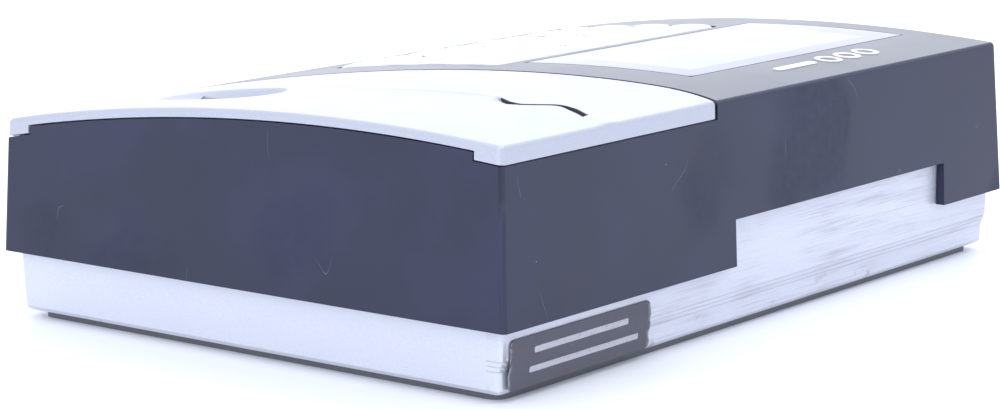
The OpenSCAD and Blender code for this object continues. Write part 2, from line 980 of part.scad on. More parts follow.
module speaker() {
    color([0.25, 0.25, 0.27])
        translate([speaker_x, -case_in_y + 0.1, speaker_z])
            rotate([-90, 0, 0])
                difference() {
                    cylinder(r = speaker_r, h = speaker_t);
                    translate([0, 0, -eps])
                        cylinder(r1 = speaker_r - 1.5, r2 = 5, h = 2.5);
                }
}

module tamper_switch() {
    color([0.15, 0.15, 0.17])
        translate([tamper_x, tamper_y, board_z - switch_h])
            difference() {
                block(8, 8, switch_h);
                translate([0, 0, -eps])
                    cylinder(r = plunger_r + plunger_gap, h = plunger_in + 2);
            }
}

module tamper_plunger() {
    color([0.85, 0.85, 0.80])
        translate([tamper_x, tamper_y, plate_t + plunger_rest])
            cylinder(r = plunger_r, h = board_z - switch_h + plunger_in - plate_t - plunger_rest);
}

module reset_switch() {
    color([0.15, 0.15, 0.17])
        translate([reset_x, board_y0 + 3, board_z - 6])
            difference() {
                block(6, 4, 6);
                translate([0, -2 - eps, 6 + reset_z - board_z])
                    rotate([-90, 0, 0])
                        cylinder(r = reset_r + plunger_gap, h = 2.6);
            }
}

module reset_button() {
    color([0.75, 0.20, 0.18])
        translate([reset_x, board_y0 + 0.2, reset_z])
            rotate([-90, 0, 0])
                cylinder(r = reset_r, h = 2.6);
}

// ---- fingerprint sensor ----

module sensor_glass() {
    color([0.70, 0.80, 0.78, 0.6])
        translate([sensor_x, sensor_y, groove_z])
            along_x(glass_x)
                polygon([[-glass_y / 2, 0], [glass_y / 2, 0], [glass_y / 2, -glass_t],
                         [-glass_y / 2 + glass_t * 0.6, -glass_t], [-glass_y / 2, -glass_t * 0.5]]);
}

module sensor_frame() {
    color([0.08, 0.08, 0.09])
        difference() {
            union() {
                translate([sensor_x, sensor_y, optics_low])
                    block(optics_x, optics_y, optics_h);
                translate([sensor_x, sensor_y, optics_top - ear_t])
                    block(2 * ear_x, 2 * ear_r, ear_t);
                ear_places()
                    translate([0, 0, optics_top - ear_t])
                        cylinder(r = ear_r, h = ear_t);
            }
            translate([sensor_x, sensor_y, optics_low - 1])
                block(glass_x + 2 * glass_gap, glass_y + 2 * glass_gap, optics_h + 2);
            ear_places()
                translate([0, 0, optics_top - ear_t - 1])
                    cylinder(r = 1.2, h = ear_t + 2);
        }
}

module sensor_lens() {
    color([0.12, 0.12, 0.14])
        translate([sensor_x, sensor_y, optics_low])
            cylinder(r = 3.5, h = groove_z - glass_t - optics_low - 1);
}

module sensor_board() {
    color([0.10, 0.35, 0.20])
        translate([sensor_x, sensor_y, optics_low - board_t])
            block(optics_x, optics_y, board_t);
}

module sensor_lights() {
    color([0.85, 0.90, 0.85])
        for (x = [-1, 1])
            for (y = [-1, 1])
                translate([sensor_x + x * (glass_x / 2 - 1.6), sensor_y + y * (glass_y / 2 - 1.2),
                           optics_low])
                    block(2, 1.6, 1);
}

module status_lights() {
    color([0.85, 0.88, 0.85])
        intersection() {
            housing_form();
            light_places()
                translate([0, 0, dome_z(light_y) - 9])
                    cylinder(r = 1.5, h = 20);
        }
}

// ---- ribbons ----

module keypad_ribbon() {
    y = board_y0 + board_w * 0.42;
    z1 = dome_z(pad_y) + (y - pad_y) * tan(pad_tilt) + pad_board_z / cos(pad_tilt);
    color([0.75, 0.75, 0.72])
        translate([board_x0 + 8, y, board_top])
            block(14, 0.5, z1 - board_top - 0.05);
}

module display_ribbon() {
    color([0.75, 0.75, 0.72])
        translate([max(lens_cx, board_x0 + 12), min(lens_cy + 10, board_y0 + board_w - 10), board_top])
            block(20, 0.5, display_board_z - board_top);
}

module sensor_ribbon() {
    x0 = board_x0 + board_l - 6;
    x1 = sensor_x - optics_x / 2 + 6;
    z0 = board_top + 0.4;
    z1 = optics_low - board_t;
    color([0.75, 0.75, 0.72])
        translate([0, sensor_y, 0])
            along_y(12)
                polygon([[x0, z0 - 0.4], [x1, z0 - 0.4], [x1, z1], [x1 - 0.4, z1], [x1 - 0.4, z0],
                         [x0, z0]]);
}

// ---- fasteners ----

module case_screws() {
    color([0.60, 0.61, 0.63])
        case_screw_places()
            translate([0, 0, plate_t + head_depth])
                screw(screw_d, screw_l, head_d);
}

module board_screws() {
    color([0.60, 0.61, 0.63])
        board_post_places()
            translate([0, 0, board_top])
                mirror([0, 0, 1])
                    screw(2.3, 6, 4.2);
}

module inner_screws() {
    color([0.60, 0.61, 0.63]) {
        on_pad()
            pad_post_places()
                translate([0, 0, pad_board_z])
                    screw(2, 4.5, 3.8);
        display_post_places()
            translate([0, 0, display_board_z])
                screw(2, 4, 3.8);
        ear_places()
            translate([0, 0, optics_top - ear_t])
                screw(2, 5, 3.8);
    }
}

module security_screw() {
    color([0.60, 0.61, 0.63])
        translate([flange_x, -case_in_y - case_wall + 1.5, lock_z])
            rotate([-90, 0, 0])
                difference() {
                    union() {
                        cylinder(d = lock_d - 0.5, h = case_wall + 1.4);
                        translate([0, 0, -1.4])
                            cylinder(d = 5.6, h = 1.4);
                    }
                    translate([0, 0, -1.4 - eps])
                        cylinder(d = 2.4, h = 1, $fn = 6);
                }
}

// ---- label and mark ----

module side_label() {
    color([0.32, 0.32, 0.36])
        translate([label_x, case_w / 2 + label_t / 2, label_z])
            along_y(label_t)
                rounded_rect(label_l, label_w, 1.5);
}

// A plain row of three rings and a bar
module front_mark_form(proud) {
    intersection() {
        difference() {
            above_dome(mark_t - 0.1);
            above_dome(-proud);
        }
        linear_extrude(far)
            translate([mark_x, mark_y]) {
                for (k = [0:2])
                    translate([-16 + 8 * k, 0])
                        difference() {
                            circle(3.2);
                            circle(2);
                        }
                translate([14, 0])
                    rounded_rect(16, 2.4, 1.1);
            }
    }
}

module front_mark() {
    color([0.93, 0.94, 0.96])
        front_mark_form(mark_proud);
}

wall_plate();
rear_case();
front_housing();
sensor_cover();
display_lens();
display_panel();
display_frame();
display_board();
keypad_mat();
keypad_board();
for (k = [1:16])
    key(k);
main_board();
board_chips();
board_capacitors();
lock_relay();
terminal_blocks();
network_jack();
usb_socket();
power_inlet();
clock_battery();
battery_holder();
buzzer();
speaker();
tamper_switch();
tamper_plunger();
reset_switch();
reset_button();
sensor_glass();
sensor_frame();
sensor_lens();
sensor_board();
sensor_lights();
status_lights();
keypad_ribbon();
display_ribbon();
sensor_ribbon();
case_screws();
board_screws();
inner_screws();
security_screw();
side_label();
front_mark();
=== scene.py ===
"""Looks of a wall-mounted fingerprint terminal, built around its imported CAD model.

Shapes are worked out in millimetres, in the CAD frame: +X to the right, +Y to the top edge and +Z
out of the front. Meshes are scaled to metres when they are made, and the finishes are in metres.
"""
import logging
import math
from dataclasses import dataclass
from enum import Enum
from typing import Any, Callable, Sequence

import bpy
import numpy as np
from mathutils import Matrix, Vector


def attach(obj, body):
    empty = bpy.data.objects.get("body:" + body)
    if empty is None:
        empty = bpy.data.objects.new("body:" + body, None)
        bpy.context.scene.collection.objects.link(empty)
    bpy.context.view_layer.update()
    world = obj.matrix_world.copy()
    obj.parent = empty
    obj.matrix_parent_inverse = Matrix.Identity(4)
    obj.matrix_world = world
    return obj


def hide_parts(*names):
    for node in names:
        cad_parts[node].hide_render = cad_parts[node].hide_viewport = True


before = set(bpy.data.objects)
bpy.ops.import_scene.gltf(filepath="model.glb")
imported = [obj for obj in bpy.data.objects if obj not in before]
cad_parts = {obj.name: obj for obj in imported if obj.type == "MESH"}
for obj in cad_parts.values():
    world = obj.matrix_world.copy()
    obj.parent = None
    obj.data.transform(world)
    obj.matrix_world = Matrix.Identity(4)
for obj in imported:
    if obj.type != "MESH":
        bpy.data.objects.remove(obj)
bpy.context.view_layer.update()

log = logging.getLogger("terminal")
MM = 0.001
Array = np.ndarray
Height = Callable[[Array, Array], Array]
Pair = tuple[float, float]
Triple = tuple[float, float, float]


# ---------------------------------------------------------------- shader bench


def operator(operation: str, reflected: bool = False) -> Callable[["Wire", Any], "Wire"]:
    """The method behind one of Python's operators.

    Args:
        operation: the Math node's operation.
        reflected: whether the wire stands on the operator's right.

    Returns:
        A method that adds the node.
    """
    def method(wire: "Wire", other: Any) -> "Wire":
        """Add the node and return its result."""
        return wire.maths(operation, *((other, wire) if reflected else (wire, other)))

    return method


class Wire:
    """A socket in a material, with maths written as Python expressions."""

    def __init__(self, bench: "Bench", socket: bpy.types.NodeSocket) -> None:
        """Keep the bench that adds nodes and the socket that carries the value."""
        self.bench = bench
        self.socket = socket

    def maths(self, operation: str, first: Any, second: Any = None) -> "Wire":
        """Add one Math node.

        Args:
            operation: the Math node's operation.
            first: its first value or wire.
            second: its second value or wire, if it has one.

        Returns:
            The wire that carries the result.
        """
        values = [first] if second is None else [first, second]
        return self.bench.node("ShaderNodeMath", {"operation": operation}, dict(enumerate(values)))

    __add__, __radd__ = operator("ADD"), operator("ADD", reflected=True)
    __sub__, __rsub__ = operator("SUBTRACT"), operator("SUBTRACT", reflected=True)
    __mul__, __rmul__ = operator("MULTIPLY"), operator("MULTIPLY", reflected=True)
    __truediv__, __rtruediv__ = operator("DIVIDE"), operator("DIVIDE", reflected=True)
    least = operator("MINIMUM")

    def __abs__(self) -> "Wire":
        """Size without its sign."""
        return self.maths("ABSOLUTE", self)

    def step(self, low: float, high: float) -> "Wire":
        """Rise smoothly from 0 at low to 1 at high, or fall where low is the larger.

        Args:
            low: the value that gives 0.
            high: the value that gives 1.

        Returns:
            A wire between 0 and 1.
        """
        falls = low > high
        low, high = min(low, high), max(low, high)
        return self.bench.node(
            "ShaderNodeMapRange", {"interpolation_type": "SMOOTHSTEP"},
            {"Value": self, "From Min": low, "From Max": high,
             "To Min": float(falls), "To Max": float(not falls)})


class Bench:
    """A new material and the one way that nodes are added to it."""

    def __init__(self, name: str) -> None:
        """Start the material with an empty tree."""
        self.material = bpy.data.materials.new(name)
        self.material.use_nodes = True
        self.tree = self.material.node_tree
        self.tree.nodes.clear()
        self._object: Wire | None = None

    def node(self, kind: str, settings: dict[str, Any] | None = None,
             inputs: dict[Any, Any] | None = None, output: Any = 0) -> Wire:
        """Add a node.

        Args:
            kind: the node's type.
            settings: what is set on the node first; "stops" fills a ramp.
            inputs: values or wires for its sockets, by name or number.
            output: the output that the wire carries, by name or number.

        Returns:
            The wire from that output.
        """
        made = self.tree.nodes.new(kind)
        for key, value in (settings or {}).items():
            if key == "stops":
                ramp = made.color_ramp.elements
                while len(ramp) < len(value):
                    ramp.new(0.5)
                for stop, (place, colour) in zip(ramp, value):
                    stop.position, stop.color = place, colour
            else:
                setattr(made, key, value)
        for key, value in (inputs or {}).items():
            socket = made.inputs[key]
            if isinstance(value, Wire):
                self.tree.links.new(value.socket, socket)
            else:
                socket.default_value = value
        return Wire(self, made.outputs[output])

    def place(self) -> Wire:
        """Object coordinates, in metres."""
        if self._object is None:
            self._object = self.node("ShaderNodeTexCoord", output="Object")
        return self._object

    def axes(self) -> tuple[Wire, Wire, Wire]:
        """Object coordinates as three wires."""
        split = self.node("ShaderNodeSeparateXYZ", None, {0: self.place()})
        return tuple(Wire(self, output) for output in split.socket.node.outputs)

    def stretched(self, scale: Triple, turn: float = 0.0) -> Wire:
        """Object coordinates, turned about Z and stretched for a pattern."""
        return self.node("ShaderNodeMapping", None,
                         {"Vector": self.place(), "Rotation": (0, 0, turn), "Scale": scale})

    def noise(self, scale: float, detail: float = 2.0, vector: Wire | None = None,
              roughness: float = 0.5) -> Wire:
        """Soft noise between 0 and 1, whose features are about 1 / scale metres across."""
        return self.node("ShaderNodeTexNoise", None,
                         {"Vector": vector or self.place(), "Scale": scale, "Detail": detail,
                          "Roughness": roughness})

    def mix(self, share: Any, first: Any, second: Any) -> Wire:
        """Blend two colours.

        Args:
            share: 0 for the first, 1 for the second.
            first: a colour or a wire.
            second: a colour or a wire.

        Returns:
            The blended colour.
        """
        return self.node("ShaderNodeMix", {"data_type": "RGBA"},
                         {0: share, 6: rgba(first), 7: rgba(second)}, output=2)

    def specks(self, scale: float, size: float, share: float) -> Wire:
        """Scattered dots, by the distance to the centre of each of a share of the cells.

        Args:
            scale: cells in a metre.
            size: a dot's radius as a share of a cell.
            share: the share of cells that hold a dot.

        Returns:
            1 on a dot and 0 elsewhere.
        """
        cells = self.node("ShaderNodeTexVoronoi", {"feature": "F1"},
                          {"Vector": self.place(), "Scale": scale, "Randomness": 1.0},
                          output="Distance")
        colour = Wire(self, cells.socket.node.outputs["Color"])
        draw = self.node("ShaderNodeSeparateColor", None, {0: colour}, output=0)
        return cells.step(size, size * 0.45) * draw.step(1 - share, 1 - share + 0.01)

    def hairs(self, scale: float, width: float, share: float,
              stretch: Triple = (1, 1, 1), turn: float = 0.0) -> Wire:
        """Fine scratches, where a stretched noise crosses its middle value.

        Args:
            scale: the noise's scale.
            width: how near the middle value counts.
            share: how much of the surface has any.
            stretch: the pattern's stretch.
            turn: its turn about Z.

        Returns:
            1 on a scratch and 0 elsewhere.
        """
        path = self.stretched(stretch, turn)
        line = abs(self.noise(scale, 1.0, path) - 0.5).step(width, 0.0)
        where = self.noise(scale * 1.7, 0.0).step(1 - share, 1 - share + 0.06)
        return line * where

    def bump(self, height: Wire, strength: float, depth: float, under: Wire | None = None) -> Wire:
        """A normal from a height between 0 and 1.

        Args:
            height: the height.
            strength: how much it counts.
            depth: the height of 1, in metres.
            under: a normal that it lies on.

        Returns:
            The bent normal.
        """
        inputs: dict[Any, Any] = {"Height": height, "Strength": strength, "Distance": depth}
        if under is not None:
            inputs["Normal"] = under
        return self.node("ShaderNodeBump", None, inputs)

    def surface(self, **sockets: Any) -> bpy.types.Material:
        """Finish the material with one Principled shader.

        Args:
            **sockets: its sockets, with _ for a space.

        Returns:
            The material.
        """
        named = {key.replace("_", " "): value for key, value in sockets.items()}
        named["Base Color"] = rgba(named["Base Color"])
        shader = self.node("ShaderNodeBsdfPrincipled", None, named)
        end = self.tree.nodes.new("ShaderNodeOutputMaterial")
        self.tree.links.new(shader.socket, end.inputs[0])
        return self.material


def rgba(colour: Any) -> Any:
    """A colour of three numbers gets its fourth; a wire stays as it is."""
    if isinstance(colour, Wire) or len(colour) == 4:
        return colour
    return (*colour, 1.0)


# ---------------------------------------------------------------- finishes


@dataclass(frozen=True)
class Recipe:
    """A finish. Its values are the finish's own, and paint() lays them on a bench."""

    def make(self, name: str) -> bpy.types.Material:
        """Build the material under a name and return it."""
        return self.paint(Bench(name))

    def paint(self, b: Bench) -> bpy.types.Material:
        """Lay the finish on a bench and return its material."""
        raise NotImplementedError


@dataclass(frozen=True)
class MouldedBlack(Recipe):
    """Black moulded plastic of the housing, with dust specks, hair scratches, rubs and chips, and a
    painted sheen: the dome's face is tinted lighter and bluer to stand for its reflection of the
    bright room.
    """

    base: Triple = (0.009, 0.012, 0.038)
    haze: Triple = (0.014, 0.018, 0.054)
    speck: Triple = (0.30, 0.31, 0.40)
    chip: Triple = (0.005, 0.005, 0.009)
    roughness: float = 0.42
    # The painted reflection colour that the dome's face is tinted towards.
    painted_sheen: Triple = (0.020, 0.024, 0.052)
    polish: float = 0.12
    crown: float = 0.0513
    dome_y: float = 0.025
    dome_r: float = 0.4797

    def paint(self, b: Bench) -> bpy.types.Material:
        """Lay the finish on a bench and return its material."""
        x, y, z = b.axes()
        cloud = b.noise(38, 3)
        dust = (b.specks(230, 0.055, 0.10) + b.specks(90, 0.022, 0.22) * 0.8).least(1)
        right = x.step(0.080, 0.0945) * y.step(0.060, 0.0635)
        edge = right + x.step(-0.062, -0.090) * y.step(0.05, 0.062)
        dust = (dust + b.specks(420, 0.09, 0.16) * edge.least(1) * 0.7).least(1)
        hair = b.hairs(60, 0.0016, 0.34, (1, 1, 0.45), 0.4)
        rub = b.noise(500, 3) * b.noise(26, 2).step(0.56, 0.66)
        low = z.step(0.030, 0.041)
        # front is 1 on the dome's face; it carries the painted sheen colour and a lower roughness.
        above = z - self.crown + (y - self.dome_y) * (y - self.dome_y) / (2 * self.dome_r)
        front = above.step(-0.0009, -0.0004)
        chips = b.hairs(120, 0.012, 0.30) * x.step(-0.058, -0.064) * x.step(-0.088, -0.080)
        chips = chips * y.step(0.060, 0.064) * low * z.step(0.044, 0.041)
        marks = (dust * 0.75 + hair * 0.28).least(1)
        colour = b.mix(cloud.step(0.35, 0.7), self.base, self.haze)
        colour = b.mix(marks, colour, self.speck)
        colour = b.mix(chips, colour, self.chip)
        grain = b.bump(b.noise(2600, 2), 0.10, 0.00006)
        cut = b.bump(hair * -0.6 + chips * -1.0, 0.4, 0.00005, grain)
        # Painted sheen: the dome's face is tinted lighter and bluer, standing in for its reflection
        # of the bright room at grazing angles.
        colour = b.mix(front * 0.8, colour, self.painted_sheen)
        rough = self.roughness + cloud * 0.09 + marks * 0.2
        rough = rough + rub * 0.22 * (1 - front) - front * self.polish
        return b.surface(Base_Color=colour, Roughness=rough, Normal=cut, Specular_IOR_Level=0.52)


@dataclass(frozen=True)
class SilverPaint(Recipe):
    """Silver paint on plastic, with fine flakes, a slight haze and hair scratches."""

    base: Triple = (0.50, 0.52, 0.585)
    deep: Triple = (0.43, 0.45, 0.53)
    metal: float = 0.35
    roughness: float = 0.36
    flake: float = 0.5
    gloss: float = 0.5

    def colour(self, b: Bench) -> Wire:
        """The paint's colour, with its flakes."""
        flakes = b.noise(3400, 1)
        cloud = b.noise(55, 3)
        share = (flakes.step(0.36, 0.66) * self.flake + cloud * 0.25).least(1)
        return b.mix(share, self.base, self.deep)

    def paint(self, b: Bench) -> bpy.types.Material:
        """Lay the finish on a bench and return its material."""
        colour = self.colour(b)
        haze = b.noise(90, 3)
        hair = b.hairs(70, 0.0018, 0.30, (1, 1, 1), 0.7)
        grain = b.bump(b.noise(2900, 2), 0.09, 0.00005)
        colour = b.mix(hair * 0.22, colour, (0.36, 0.37, 0.42))
        return b.surface(Base_Color=colour, Metallic=self.metal, Normal=grain,
                         Specular_IOR_Level=self.gloss,
                         Roughness=self.roughness + haze * 0.12 + hair * 0.1)


@dataclass(frozen=True)
class WornCase(SilverPaint):
    """The rear case's paint, rubbed in streaks along its top wall, with painted shade lines along
    its steps, and dirt and chips low down.
    """

    base: Triple = (0.66, 0.68, 0.75)
    deep: Triple = (0.58, 0.60, 0.69)
    dirt_and_step_shade: Triple = (0.30, 0.30, 0.33)
    chip: Triple = (0.055, 0.055, 0.065)
    wall_y: float = 0.0600
    # Heights in mm of the painted shade lines on the top wall's steps.
    steps: tuple[float, ...] = (8.28, 7.28, 6.28)

    def paint(self, b: Bench) -> bpy.types.Material:
        """Lay the finish on a bench and return its material."""
        x, y, z = b.axes()
        top_wall = y.step(self.wall_y, self.wall_y + 0.0008)
        streaks = b.noise(1.0, 4, b.stretched((60, 60, 2600)), 0.62)
        broad = b.noise(1.0, 3, b.stretched((30, 30, 420)))
        patch = b.noise(42, 3)
        rubbed = streaks.step(0.44, 0.72) * 0.75 + broad.step(0.45, 0.75) * 0.5
        rubbed = (rubbed * patch.step(0.30, 0.62)).least(1) * top_wall
        # Painted shade: thin dark lines on the faces of the top wall's steps, where shade falls.
        lines = sum((abs(z - at * MM).step(0.00026, 0.00004) for at in self.steps), 0.0) * top_wall
        # The rubbed streaks are wear and the step lines are painted shade; both darken towards the
        # same grey.
        colour = b.mix((rubbed * 0.5 + lines * 0.45).least(1), self.colour(b), self.dirt_and_step_shade)
        soil = b.noise(150, 4).step(0.60, 0.72) * z.step(0.0075, 0.003) * top_wall
        chips = b.specks(330, 0.16, 0.06) * z.step(0.0062, 0.0035)
        nicks = b.specks(260, 0.05, 0.05)
        flaws = (soil * 0.35 + chips + nicks * 0.7).least(1)
        colour = b.mix(flaws, colour, self.chip)
        grain = b.bump(b.noise(2700, 2), 0.10, 0.00005)
        cut = b.bump(streaks * top_wall, 0.22, 0.00008, grain)
        rough = self.roughness + rubbed * 0.10 + flaws * 0.3 + b.noise(80, 2) * 0.1
        return b.surface(Base_Color=colour, Metallic=self.metal, Normal=cut, Roughness=rough)


@dataclass(frozen=True)
class LensGloss(Recipe):
    """Clear glossy lens over a printed border, lighter over the display."""

    window: Triple = (0.17, 0.21, 0.235)
    border: Triple = (0.055, 0.060, 0.135)
    top: float = 0.0408
    right: float = -0.0030
    low: float = 0.0085
    left: float = -0.0760

    def paint(self, b: Bench) -> bpy.types.Material:
        """Lay the finish on a bench and return its material."""
        x, y, _ = b.axes()
        soft = 0.0006
        inside = x.step(self.left, self.left + soft) * x.step(self.right, self.right - soft)
        inside = inside * y.step(self.low, self.low + soft) * y.step(self.top, self.top - soft)
        wipe = b.noise(1.0, 3, b.stretched((30, 90, 30), 0.5))
        colour = b.mix(inside, self.border, self.window)
        colour = b.mix(b.specks(260, 0.05, 0.05) * 0.5, colour, (0.6, 0.6, 0.65))
        return b.surface(Base_Color=colour, Roughness=0.16 + wipe.step(0.4, 0.8) * 0.08, IOR=1.34,
                         Normal=b.bump(b.noise(60, 1), 0.05, 0.0001))


@dataclass(frozen=True)
class PlainPlastic(Recipe):
    """Moulded plastic of one colour with a faint mottle and grain."""

    base: Triple
    shade: float = 0.8
    roughness: float = 0.45
    grain: float = 0.1
    scale: float = 1800

    def paint(self, b: Bench) -> bpy.types.Material:
        """Lay the finish on a bench and return its material."""
        mottle = b.noise(240, 3)
        darker = tuple(v * self.shade for v in self.base)
        colour = b.mix(mottle.step(0.3, 0.75), self.base, darker)
        return b.surface(Base_Color=colour, Roughness=self.roughness + mottle * 0.12,
                         Normal=b.bump(b.noise(self.scale, 2), self.grain, 0.00006))


@dataclass(frozen=True)
class SheetMetal(Recipe):
    """Sheet or turned metal with a directional brush and stains."""

    base: Triple = (0.56, 0.57, 0.59)
    stain: Triple = (0.40, 0.41, 0.44)
    brush: Triple = (20, 900, 900)
    roughness: float = 0.34

    def paint(self, b: Bench) -> bpy.types.Material:
        """Lay the finish on a bench and return its material."""
        lines = b.noise(1.0, 3, b.stretched(self.brush))
        patch = b.noise(120, 4)
        colour = b.mix((lines * 0.4 + patch.step(0.5, 0.8) * 0.6).least(1), self.base, self.stain)
        rough = self.roughness + lines * 0.14 + patch * 0.08
        return b.surface(Base_Color=colour, Metallic=0.92, Roughness=rough,
                         Normal=b.bump(lines, 0.12, 0.00005))


@dataclass(frozen=True)
class BoardGreen(Recipe):
    """Solder mask over copper tracks: a track shows where a blocky cell pattern has its edges."""

    mask: Triple = (0.012, 0.10, 0.045)
    track: Triple = (0.03, 0.17, 0.08)
    pad: Triple = (0.62, 0.56, 0.40)

    def paint(self, b: Bench) -> bpy.types.Material:
        """Lay the finish on a bench and return its material."""
        cells = b.node("ShaderNodeTexVoronoi", {"feature": "F1", "distance": "CHEBYCHEV"},
                       {"Vector": b.place(), "Scale": 330.0, "Randomness": 0.75}, output="Distance")
        tracks = abs(cells - 0.34).step(0.05, 0.02)
        pads = b.specks(480, 0.16, 0.12)
        colour = b.mix(pads, b.mix(tracks, self.mask, self.track), self.pad)
        return b.surface(Base_Color=colour, Roughness=0.32 - pads * 0.05 + b.noise(300, 2) * 0.1,
                         Metallic=pads * 0.9, Normal=b.bump(tracks, 0.3, 0.00004))


@dataclass(frozen=True)
class ClearPart(Recipe):
    """Clear resin or glass, with a little see-through share."""

    tint: Triple = (0.85, 0.90, 0.92)
    through: float = 0.55
    roughness: float = 0.06

    def paint(self, b: Bench) -> bpy.types.Material:
        """Lay the finish on a bench and return its material."""
        smear = b.noise(160, 3)
        colour = b.mix(smear.step(0.5, 0.8) * 0.3, self.tint, (0.7, 0.74, 0.78))
        return b.surface(Base_Color=colour, Roughness=self.roughness + smear * 0.08,
                         Transmission_Weight=self.through, IOR=1.49)


@dataclass(frozen=True)
class Paper(Recipe):
    """Label stock with a dull sheen, worn paler along its ends."""

    base: Triple = (0.070, 0.070, 0.096)
    worn: Triple = (0.30, 0.30, 0.34)
    left: float = 0.0466
    right: float = 0.0931

    def paint(self, b: Bench) -> bpy.types.Material:
        """Lay the finish on a bench and return its material."""
        x, _, _ = b.axes()
        fray = b.noise(900, 3)
        near = x.step(self.left + 0.0012, self.left) + x.step(self.right - 0.0010, self.right)
        worn = (near * fray.step(0.35, 0.6) + b.hairs(150, 0.006, 0.25) * 0.4).least(1)
        colour = b.mix(worn * 0.8, self.base, self.worn)
        colour = b.mix(b.specks(500, 0.1, 0.05), colour, self.worn)
        return b.surface(Base_Color=colour, Roughness=0.42 + fray * 0.15,
                         Normal=b.bump(b.noise(420, 3), 0.14, 0.0001))


@dataclass(frozen=True)
class PrintInk(Recipe):
    """Screen-printed ink with slightly uneven cover."""

    base: Triple = (0.88, 0.89, 0.92)
    thin: Triple = (0.66, 0.67, 0.74)

    def paint(self, b: Bench) -> bpy.types.Material:
        """Lay the finish on a bench and return its material."""
        cover = b.noise(1300, 3)
        return b.surface(Base_Color=b.mix(cover.step(0.5, 0.8), self.base, self.thin),
                         Roughness=0.45 + cover * 0.15, Normal=b.bump(cover, 0.08, 0.00003))


class Finish(Enum):
    """The terminal's finishes: the name, the record's slot and the recipe."""

    HOUSING = ("housing_black", "black_housing", MouldedBlack())
    COVER = ("cover_silver", "silver_cover", SilverPaint())
    CASE = ("case_silver", "silver_case", WornCase())
    KEY = ("key_silver", "key_silver",
           SilverPaint((0.33, 0.345, 0.42), (0.28, 0.295, 0.38), 0.05, 0.5, 0.3, 0.04))
    LENS = ("lens_gloss", "lens", LensGloss())
    LEGEND = ("legend_ink", "mark_white", PrintInk((0.06, 0.065, 0.10), (0.10, 0.105, 0.15)))
    MARK = ("mark_white", "mark_white", PrintInk())
    LABEL = ("label_stock", "label_grey", Paper())
    LABEL_BAR = ("label_ink", "mark_white", PrintInk((0.46, 0.46, 0.50), (0.32, 0.32, 0.37)))
    # The wall plate's near-black is partly its own dark coat and partly painted shade, darkened to
    # stand for the shadow strip under the case.
    PLATE = ("plate_steel", "plate_steel", SheetMetal((0.045, 0.045, 0.060), (0.028, 0.028, 0.040)))
    SHEET = ("sheet_steel", "sheet_steel", SheetMetal())
    SCREW = ("screw_steel", "screw_steel",
             SheetMetal((0.62, 0.63, 0.65), (0.46, 0.47, 0.5), (300, 300, 1200)))
    PANEL = ("panel_glass", "panel_glass", ClearPart((0.36, 0.42, 0.40), 0.1, 0.1))
    BOARD = ("board_green", "circuit_board", BoardGreen())
    SILICONE = ("mat_silicone", "silicone", PlainPlastic((0.10, 0.10, 0.11), 0.75, 0.62, 0.2, 900))
    CHIP = ("chip_black", "chip_black", PlainPlastic((0.016, 0.016, 0.018), 0.7, 0.5, 0.18, 2600))
    SLEEVE = ("capacitor_sleeve", "capacitor_sleeve",
              PlainPlastic((0.03, 0.05, 0.16), 0.75, 0.3, 0.05))
    RELAY = ("relay_blue", "relay_blue", PlainPlastic((0.03, 0.10, 0.42), 0.8, 0.36))
    TERMINAL = ("terminal_green", "terminal_green", PlainPlastic((0.04, 0.30, 0.11), 0.8, 0.42))
    SPEAKER = ("speaker_cone", "speaker_black",
               PlainPlastic((0.022, 0.022, 0.024), 0.6, 0.66, 0.3, 700))
    PLUNGER = ("plunger_white", "plunger_white", PlainPlastic((0.74, 0.74, 0.70), 0.9, 0.4))
    GLASS = ("sensor_glass", "sensor_glass", ClearPart((0.70, 0.32, 0.30), 0.35, 0.05))
    LIGHT = ("light_clear", "light_clear", ClearPart())
    RIBBON = ("ribbon_grey", "ribbon_grey", PlainPlastic((0.52, 0.52, 0.50), 0.82, 0.5))

    def material(self) -> bpy.types.Material:
        """The finish's material, made the first time that it is asked for."""
        name, _, recipe = self.value
        return bpy.data.materials.get(name) or recipe.make(name)


# ---------------------------------------------------------------- surfaces


def spread(start: float, end: float, count: int) -> Array:
    """Even steps from start to end, both included."""
    return np.linspace(start, end, count)


def ease(value: Array, low: float, high: float) -> Array:
    """Rise smoothly from 0 at low to 1 at high: 3 t^2 - 2 t^3 of the clipped share t."""
    share = np.clip((value - low) / (high - low), 0, 1)
    return share * share * (3 - 2 * share)


def make_mesh(name: str, points: Array, faces: Sequence[Sequence[int]],
              smooth: bool = True) -> bpy.types.Object:
    """Make an object at the origin.

    Args:
        name: the piece's name.
        points: its vertices, in millimetres, one row each.
        faces: the vertex numbers of each face.
        smooth: whether its faces are shaded smooth.

    Returns:
        The object, linked to the scene.
    """
    mesh = bpy.data.meshes.new(name)
    mesh.from_pydata((points * MM).tolist(), [], [list(map(int, f)) for f in faces])
    mesh.validate()
    mesh.polygons.foreach_set("use_smooth", [smooth] * len(mesh.polygons))
    mesh.update()
    piece = bpy.data.objects.new(name, mesh)
    bpy.context.scene.collection.objects.link(piece)
    return piece


def grid_faces(rows: int, columns: int, start: int = 0, flip: bool = False) -> Array:
    """The quads of a grid of vertices that are numbered row by row."""
    i, j = np.meshgrid(np.arange(rows - 1), np.arange(columns - 1), indexing="ij")
    a = (start + i * columns + j).ravel()
    quads = np.stack([a, a + 1, a + columns + 1, a + columns], 1)
    return quads[:, ::-1] if flip else quads


def ring_faces(outer: Array, inner: Array) -> Array:
    """The quads between two rings of the same number of vertices."""
    return np.stack([outer, np.roll(outer, -1), np.roll(inner, -1), inner], 1)


def tube_faces(loop: Array, rings: int, count: int) -> list[Any]:
    """The quads between rings of count vertices that are numbered one after another."""
    return [quad for k in range(rings - 1)
            for quad in ring_faces(loop + k * count, loop + (k + 1) * count)]


